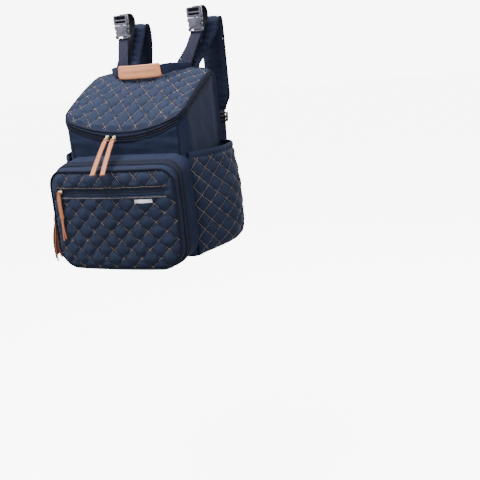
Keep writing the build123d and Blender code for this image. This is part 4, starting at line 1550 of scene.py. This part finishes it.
def make_handle():
    line = handle_line(1.0, 160)
    reach = np.abs(np.linspace(-1, 1, 160))
    line[:, 2] -= 5.0 * fade((reach - 0.7) / 0.3)
    narrow = 1 - 0.5 * fade((reach - 0.6) / 0.4)
    section = round_section(21, 3.0, 1.4, 5)[None] * np.stack([narrow, np.ones(160)], -1)[:, None]
    obj = sweep("handle_band", line, (0, 0, 1.0), section, plain_cloth)
    settle(obj, "handle", "plain_navy", "handle_webbing")
    lines = []
    short = line[28:-28]
    for points, up in edge_rows(short, (0, 0, 1.0), 8.2, -1.6):
        lines.append((points, -up))
    lines += edge_rows(short, (0, 0, 1.0), 8.2, 1.6)
    obj = stitches("handle_band_stitching", lines, navy_thread, pitch=3.2, size=2.5, radius=0.3, lift=0)
    settle(obj, "handle", "plain_navy")

    share = GRIP_W / 2 / HANDLE_X
    rows, around = 120, 64
    line = handle_line(share, rows)
    a = np.arange(around) * 2 * pi / around
    section = np.zeros((rows, around, 2))
    tone = np.zeros((rows, around))
    for i in range(rows):
        end = min(i, rows - 1 - i) / 12
        tall = 14.4 - 3.2 * (1 - sqrt(1 - (1 - min(end * 2.2, 1)) ** 2))
        x = np.sign(np.cos(a)) * np.abs(np.cos(a)) ** 0.35 * tall
        y = np.sign(np.sin(a)) * np.abs(np.sin(a)) ** 0.5 * 4.4
        middle = fade((min(i, rows - 1 - i) - 9) / 5)
        ribs = 0.8 * (np.abs(np.sin(pi * (x + 9.0) / 4.5)) ** 0.5 - 0.6) * (np.abs(x) < 9.2) * middle
        y = y + np.sign(y) * ribs
        section[i] = np.stack([x, y], -1)
        # Darker cut edges and ends; painted shade in the ribs' grooves and painted highlight on their crests.
        tone[i] = 0.5 - 0.22 * (np.abs(x) > tall - 1.2) - 0.2 * (end < 0.1) + 0.4 * (ribs / 0.8)
    obj = sweep("leather_grip", line, (0, 0, 1.0), section, tan_leather, tone=tone)
    settle(obj, "handle", "tan_leather", "handle_grip")
    lines = []
    inner = handle_line(share * 0.93, 90)
    for way in (-1, 1):
        lines += [(points, up * way) for points, up in edge_rows(inner, (0, 0, 1.0), 11.6, 4.35 * way)]
        for end in (inner[0], inner[-1]):
            z = np.linspace(-11.6, 11.6, 20)
            spots = end + np.stack([0 * z, 0 * z + 4.35 * way, z], -1)
            lines.append((spots, np.array((0, 1.0 * way, 0))))
    obj = stitches("grip_stitching", lines, thread, pitch=2.9, size=2.2, radius=0.34, lift=0.05)
    settle(obj, "handle", "tan_leather")


# ---- Sliders, pulls and tassels ---------------------------------------------------------
RING_ANGLES = np.radians(np.arange(0, 360, 12))


def slider(name, node, place, body):
    """A zip slider: a waisted shield with side wings and a bridge for its pull."""
    right = [(3.2, 5.6), (4.6, 4.2), (3.4, 0), (4.2, -4.6), (2.8, -6.0)]
    left = [(-x, z) for x, z in right]
    shield = left[:1] + right + left[:0:-1]
    front = plate(name, shield, -4.0, -2.2, pale_gold, 0.5)
    bar = [(-1.5, 4.6), (1.5, 4.6), (1.8, 0), (1.5, -3.6), (-1.5, -3.6), (-1.8, 0)]
    bridge = plate(f"{name}_bridge", bar, -6.6, -3.8, pale_gold, 0.6)
    for obj in (front, bridge):
        obj.data.transform(shift_matrix(place))
        settle(obj, body, "slider_metal")
    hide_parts(node)


def shift_matrix(place):
    """Carries a piece made at the bag's origin to its place."""
    origin = Matrix.Translation(Vector(row((0, 0, 0))))
    move, turn = place
    return Matrix.Translation(Vector(move) / 1000) @ origin @ turn @ origin.inverted()


def strip(name, line, width, thick, material, across, body, slot, node=None, taper=None):
    """A cut leather strip: square edges that are darker than its faces."""
    section = round_section(width, thick, min(0.5, thick / 2.2), 3)
    n = len(line)
    widths = np.ones(n) if taper is None else taper
    section = section[None] * np.stack([widths, np.ones(n)], -1)[:, None]
    tone = np.where(np.abs(section[..., 0]) > widths[:, None] * width / 2 - 0.45, 0.22, 0.5)
    obj = sweep(name, line, across, section, material, tone=tone)
    settle(obj, body, slot, *([node] if node else []))
    return obj


def make_lid_pulls():
    centre_z = SEAM_Z + SEAM_R
    for side, x, end_x in (("left", -36.0, -7.0), ("right", -20.0, 16.0)):
        angle = asin(x / SEAM_R)
        z = centre_z - SEAM_R * cos(angle)
        turn = Matrix.Rotation(-angle, 4, "Y")
        slider(f"lid_zip_slider_{side}", f"lid_slider_{side}", ((x, 0.4, z), turn), f"lid_slider_{side}")
        start = np.array([x, -9.4, z - 0.5])
        end = np.array([end_x, -121.0, 200.0])
        t = np.linspace(0, 1, 60)[:, None]
        bend = np.array([0, -0.5, 1.2])
        line = start * (1 - t) + end * t + bend * np.sin(pi * t)
        run = unit(end - start)
        across = unit(np.array((1.0, 0, 0)) - run * run[0])
        taper = 0.82 + 0.18 * fade(t[:, 0] / 0.12)
        body = f"lid_pull_{side}"
        name = f"lid_leather_pull_{side}"
        strip(name, line, 10.2, 2.8, pull_leather, across, body, "tan_leather", body, taper)
        lines = edge_rows(line[6:-3], across, 3.6, 1.45) + edge_rows(line[6:-3], across, 3.6, -1.45)
        lines = lines[:2] + [(points, -up) for points, up in lines[2:]]
        obj = stitches(f"lid_pull_stitching_{side}", lines, thread, pitch=2.6, size=2.0, radius=0.26, lift=0)
        settle(obj, body, "tan_leather")
        ring_at = start + run * 1.5
        ring = []
        for a in RING_ANGLES:
            ring.append(ring_at + across * 3.6 * cos(a) + run * 2.6 * sin(a) - run * 2.2)
        out = np.cross(run, across)
        obj = tube(f"lid_pull_ring_{side}", np.array(ring), 0.75, pale_gold, closed=True, across=out)
        settle(obj, body, "slider_metal")


def make_face_pull():
    x = -118.0
    angle = asin(x / FACE_R)
    turn = Matrix.Rotation(angle, 4, "Z") @ Matrix.Rotation(radians(90), 4, "Y")
    y = FACE_Y + FACE_R - FACE_R * cos(angle)
    slider("face_zip_slider", "face_slider", ((x, y - 0.2, ZIP_Z + 1.5), turn), "face_slider")
    out = np.array([sin(angle), -cos(angle), 0])
    across = np.array([cos(angle), sin(angle), 0])
    top = np.array([x, y, 161.0]) + out * 8.6
    parts = (
        ("pull", 0, 0, -56, 9.4, 3.0, 0.0),
        ("tail_a", -2.4, -54, -103, 3.6, 2.0, 1.2),
        ("tail_b", 2.2, -54, -99, 3.4, 2.0, -1.0),
    )
    for k, (name, shift, high, low, width, thick, sway) in enumerate(parts):
        t = np.linspace(0, 1, 40)[:, None]
        line = top + across * shift + np.array([0, 0, 1.0]) * (high + (low - high) * t)
        line = line + across * sway * np.sin(pi * t * 1.3) + out * 0.8 * np.sin(pi * t)
        taper = 0.75 + 0.25 * fade(t[:, 0] / 0.2) if k == 0 else None
        body, node = "face_pull", "face_pull" if k == 0 else None
        piece = f"face_leather_{name}"
        strip(piece, line, width, thick, pull_leather, across, body, "tan_leather", node, taper)
    wrap = top + np.array([0, 0, -52.0])
    line = np.array([wrap + np.array([0, 0, 1.0]) * d for d in np.linspace(-3.2, 3.2, 12)])
    obj = sweep("face_pull_wrap", line, across, round_section(10.2, 4.4, 1.4), pull_leather, tone=0.42)
    settle(obj, "face_pull", "tan_leather")


def make_tassels():
    face_x = -POCKET_HALF - 1.4
    for name, z, y_shift, length in (("upper", 124.0, -4.0, 108.0), ("lower", 106.0, -16.0, 98.0)):
        body = f"pocket_tassel_{name}"
        turn = Matrix.Rotation(radians(-90), 4, "Z")
        place = ((face_x - 0.2, SPLIT_Y, z), turn)
        slider(f"pocket_zip_slider_{name}", f"pocket_slider_{name}", place, f"pocket_slider_{name}")
        lane = SPLIT_Y + y_shift
        top = np.array([face_x - 8.0, lane, z])
        ring = [top + np.array([0, 3.4 * cos(a), 3.4 * sin(a) - 1.0]) for a in RING_ANGLES]
        obj = tube(f"tassel_ring_{name}", np.array(ring), 0.8, pale_gold, closed=True, across=(1.0, 0, 0))
        settle(obj, body, "slider_metal")
        knot = np.array([top + np.array([0, 0, -d]) for d in (3.5, 4.6, 6.5, 9.5, 12.5, 14.4, 15.5)])
        swell = np.array([0.6, 0.85, 1.05, 1.12, 1.05, 0.85, 0.6])[:, None, None]
        section = disc_section(3.3, 14) * swell
        obj = sweep(f"tassel_knot_{name}", knot, (0, 1.0, 0), section, tassel_leather, tone=0.45)
        settle(obj, body, "tassel_leather", body)
        strands = ((-6.0, -2.4, 4.6, 0), (0.6, 2.0, 4.6, 7), (-12.6, 1.2, 4.2, 4), (-9.0, 2.6, 3.6, 12))
        for k, (dx, dy, width, short) in enumerate(strands):
            t = np.linspace(0, 1, 44)[:, None]
            start = top + np.array([dx * 0.12, dy * 0.3, -12.0])
            line = start + np.array([0, 0, -1.0]) * (length - 12 - short) * t
            splay = np.array([dx, dy, 0]) * np.sin(t * 1.9) ** 0.9
            wave = np.array([0.5, 0.6, 0]) * np.sin(t * 6 + k)
            line = line + splay + wave
            across = (1.0, 0.5 * (k - 1), 0.02)
            piece = f"tassel_strip_{name}_{k}"
            strip(piece, line, width, 1.8, tassel_leather, across, body, "tassel_leather")


# ---- Linings and stiffener --------------------------------------------------------------
def lining_relief(s, z, t, line):
    return -1.2 + 0.9 * ripple(s, z, 70, 121) * fade(t * 8) * fade((1 - t) * 8)


def make_linings():
    line = wall_line(300, -5.2, 158.0)
    line[:, 1] = np.clip(line[:, 1], None, 158.0)
    obj = wall_panel(
        "main_bag_lining", line, 5.0, -3.5, 0.8, lining_cloth, lining_relief, "lining", ["main_lining"]
    )
    x = np.linspace(-134, 134, 90)
    z = np.linspace(6, 355, 110)
    x, z = np.meshgrid(x, z, indexing="ij")
    y = 163.6 + 0.9 * ripple(x, z, 70, 122)
    obj = shell("back_lining", np.stack([x, y, z], -1), 0.8, lining_cloth, flat_coords(x, z))
    settle(obj, "body", "lining")
    x, y = np.meshgrid(np.linspace(-136, 136, 90), np.linspace(6, 163, 60), indexing="ij")
    corner = fade((np.abs(x) - 120) / 18) * fade((24 - y) / 20)
    z = 9.0 + 0.5 * ripple(x, y, 60, 123)
    grid = np.stack([x * (1 - 0.06 * corner), y, z], -1)
    obj = shell("floor_lining", grid, 0.8, lining_cloth, flat_coords(x, y), flip=True)
    settle(obj, "body", "lining")
    x, y = np.meshgrid(np.linspace(-128, 128, 40), np.linspace(13, 157, 24), indexing="ij")
    grid = np.stack([x, y, 7.3 + 0.1 * ripple(x, y, 30, 124)], -1)
    obj = shell("stiff_board", grid, 1.8, board_grain, flat_coords(x, y), flip=True)
    settle(obj, "body", "stiffener", "base_board")

    x = np.linspace(-108, 108, 100)
    z = np.linspace(21, 199, 90)
    x, z = np.meshgrid(x, z, indexing="ij")
    y = 158.2 - 1.6 * fade((z - 120) / 80) * (1 - (x / 108) ** 2) + 0.5 * ripple(x, z, 50, 125)
    obj = shell("inner_sleeve", np.stack([x, y, z], -1), 0.9, lining_cloth, flat_coords(x, z))
    settle(obj, "body", "lining", "inner_pocket")
    rim = np.stack([x[:, -1], y[:, -1] - 0.2, z[:, -1]], -1)
    obj = tube("inner_sleeve_elastic", even(rim, 120), 1.7, dark_cloth, sides=8)
    settle(obj, "body", "piping_navy")


def make_lid_lining():
    last = (LID_END - 3) / LID_SLANT
    q = np.linspace(4, last, 90)
    u = np.linspace(-1, 1, 100)
    u, q = np.meshgrid(u, q, indexing="ij")
    y = q * LID_SLANT
    x = u * (lid_width(y) - 4.6)
    edge = np.minimum(lid_width(y) - np.abs(x), y)
    z = lid_crown(x, y) - 4.6 - 2.0 * (1 - fade(edge / 14)) + 0.8 * ripple(x, q, 60, 131)
    obj = shell("lid_inner_lining", np.stack([x, y + 0.6, z], -1), 0.8, lining_cloth, flat_coords(x, q))
    settle(obj, "lid", "lining", "lid_lining")


# ---- Camera, light and floor ------------------------------------------------------------
def aim(obj, place, target, roll=0.0):
    """Points a camera or light from one spot of the bag's axes at another."""
    place, target = row(place), row(target)
    back = unit(place - target)
    right = unit(np.cross((0, 0, 1.0), back))
    up = np.cross(back, right)
    a = radians(roll)
    x = cos(a) * right + sin(a) * up
    y = -sin(a) * right + cos(a) * up
    turn = Matrix([[x[k], y[k], back[k]] for k in range(3)]).to_4x4()
    obj.matrix_world = Matrix.Translation(place) @ turn


def make_camera():
    data = bpy.data.cameras.new("camera")
    data.lens = 63.6
    data.sensor_width = 36.0
    data.clip_end = 50.0
    obj = bpy.data.objects.new("camera", data)
    bpy.context.scene.collection.objects.link(obj)
    aim(obj, (924.4, -1500.8, 450.0), (211.6, 60.0, 22.8), -5.88)
    bpy.context.scene.camera = obj


def softbox(name, place, target, width, height, power):
    data = bpy.data.lights.new(name, "AREA")
    data.shape = "RECTANGLE"
    data.size, data.size_y = width, height
    data.energy = power
    obj = bpy.data.objects.new(name, data)
    bpy.context.scene.collection.objects.link(obj)
    aim(obj, place, target)


WORLD_LIGHT = 0.45
BACKDROP_GLOW, FLOOR_GLOW = 8.0, 7.2
FLOOR_SIZE, FLOOR_Z = 12.0, -1.05


def make_studio():
    """Soft lights, and a backdrop and floor that are seen nearly white but light nothing."""
    softbox("top_softbox", (-400, -500, 1900), (0, 60, 250), 1.5, 1.2, 94)
    softbox("front_softbox", (-1500, -1700, 500), (0, 0, 200), 1.4, 1.4, 16)
    softbox("right_softbox", (1900, -500, 900), (0, 60, 200), 1.2, 1.6, 26)
    softbox("rear_softbox", (300, 2000, 1300), (0, 100, 250), 1.8, 1.8, 40)
    world = bpy.data.worlds.new("studio")
    world.use_nodes = True
    bpy.context.scene.world = world
    tree = world.node_tree
    light = tree.nodes["Background"]
    light.inputs["Color"].default_value = (1, 1, 1, 1)
    light.inputs["Strength"].default_value = WORLD_LIGHT
    backdrop = tree.nodes.new("ShaderNodeBackground")
    backdrop.inputs["Color"].default_value = (1, 1, 1, 1)
    backdrop.inputs["Strength"].default_value = BACKDROP_GLOW
    seen = tree.nodes.new("ShaderNodeLightPath")
    either = tree.nodes.new("ShaderNodeMixShader")
    tree.links.new(seen.outputs["Is Camera Ray"], either.inputs[0])
    tree.links.new(light.outputs[0], either.inputs[1])
    tree.links.new(backdrop.outputs[0], either.inputs[2])
    tree.links.new(either.outputs[0], tree.nodes["World Output"].inputs["Surface"])
    material, tree, shader = nodes_of("pale_floor")
    shader.inputs["Base Color"].default_value = (0.9, 0.9, 0.9, 1)
    shader.inputs["Roughness"].default_value = 0.7
    shader.inputs["Emission Color"].default_value = (1, 1, 1, 1)
    shader.inputs["Emission Strength"].default_value = FLOOR_GLOW
    data = bpy.data.meshes.new("floor")
    size, z = FLOOR_SIZE, FLOOR_Z
    corners = [(-size, -size, z), (size, -size, z), (size, size, z), (-size, size, z)]
    data.from_pydata(corners, [], [(0, 1, 2, 3)])
    data.materials.append(material)
    floor = bpy.data.objects.new("floor", data)
    bpy.context.scene.collection.objects.link(floor)
    floor.visible_diffuse = False
    floor.visible_glossy = False


def make_everything():
    make_face_panel()
    make_face_zip()
    make_piping()
    gusset("flap_side", FACE_Y, SPLIT_Y - 0.4, "flap", "flap_gusset", 91)
    gusset("pocket_side", 1.6, SPLIT_Y + 0.4, "body", "pocket_gusset_rear", 92)
    make_pocket_zip()
    make_label()
    make_flap_lining()
    make_walls()
    make_lid_zip()
    make_rear_band()
    make_back()
    make_base()
    make_lid()
    make_handle()
    make_lid_pulls()
    make_face_pull()
    make_tassels()
    make_linings()
    make_lid_lining()
    make_back_pad()
    for side, sign in SIDES.items():
        make_side_pocket(side, sign)
        make_bar_straps(side, sign)
        make_buckle(side)
        make_shoulder_strap(side, sign)
        make_strap_webbing(side, sign)


make_everything()
make_camera()
make_studio()
bpy.context.view_layer.update()
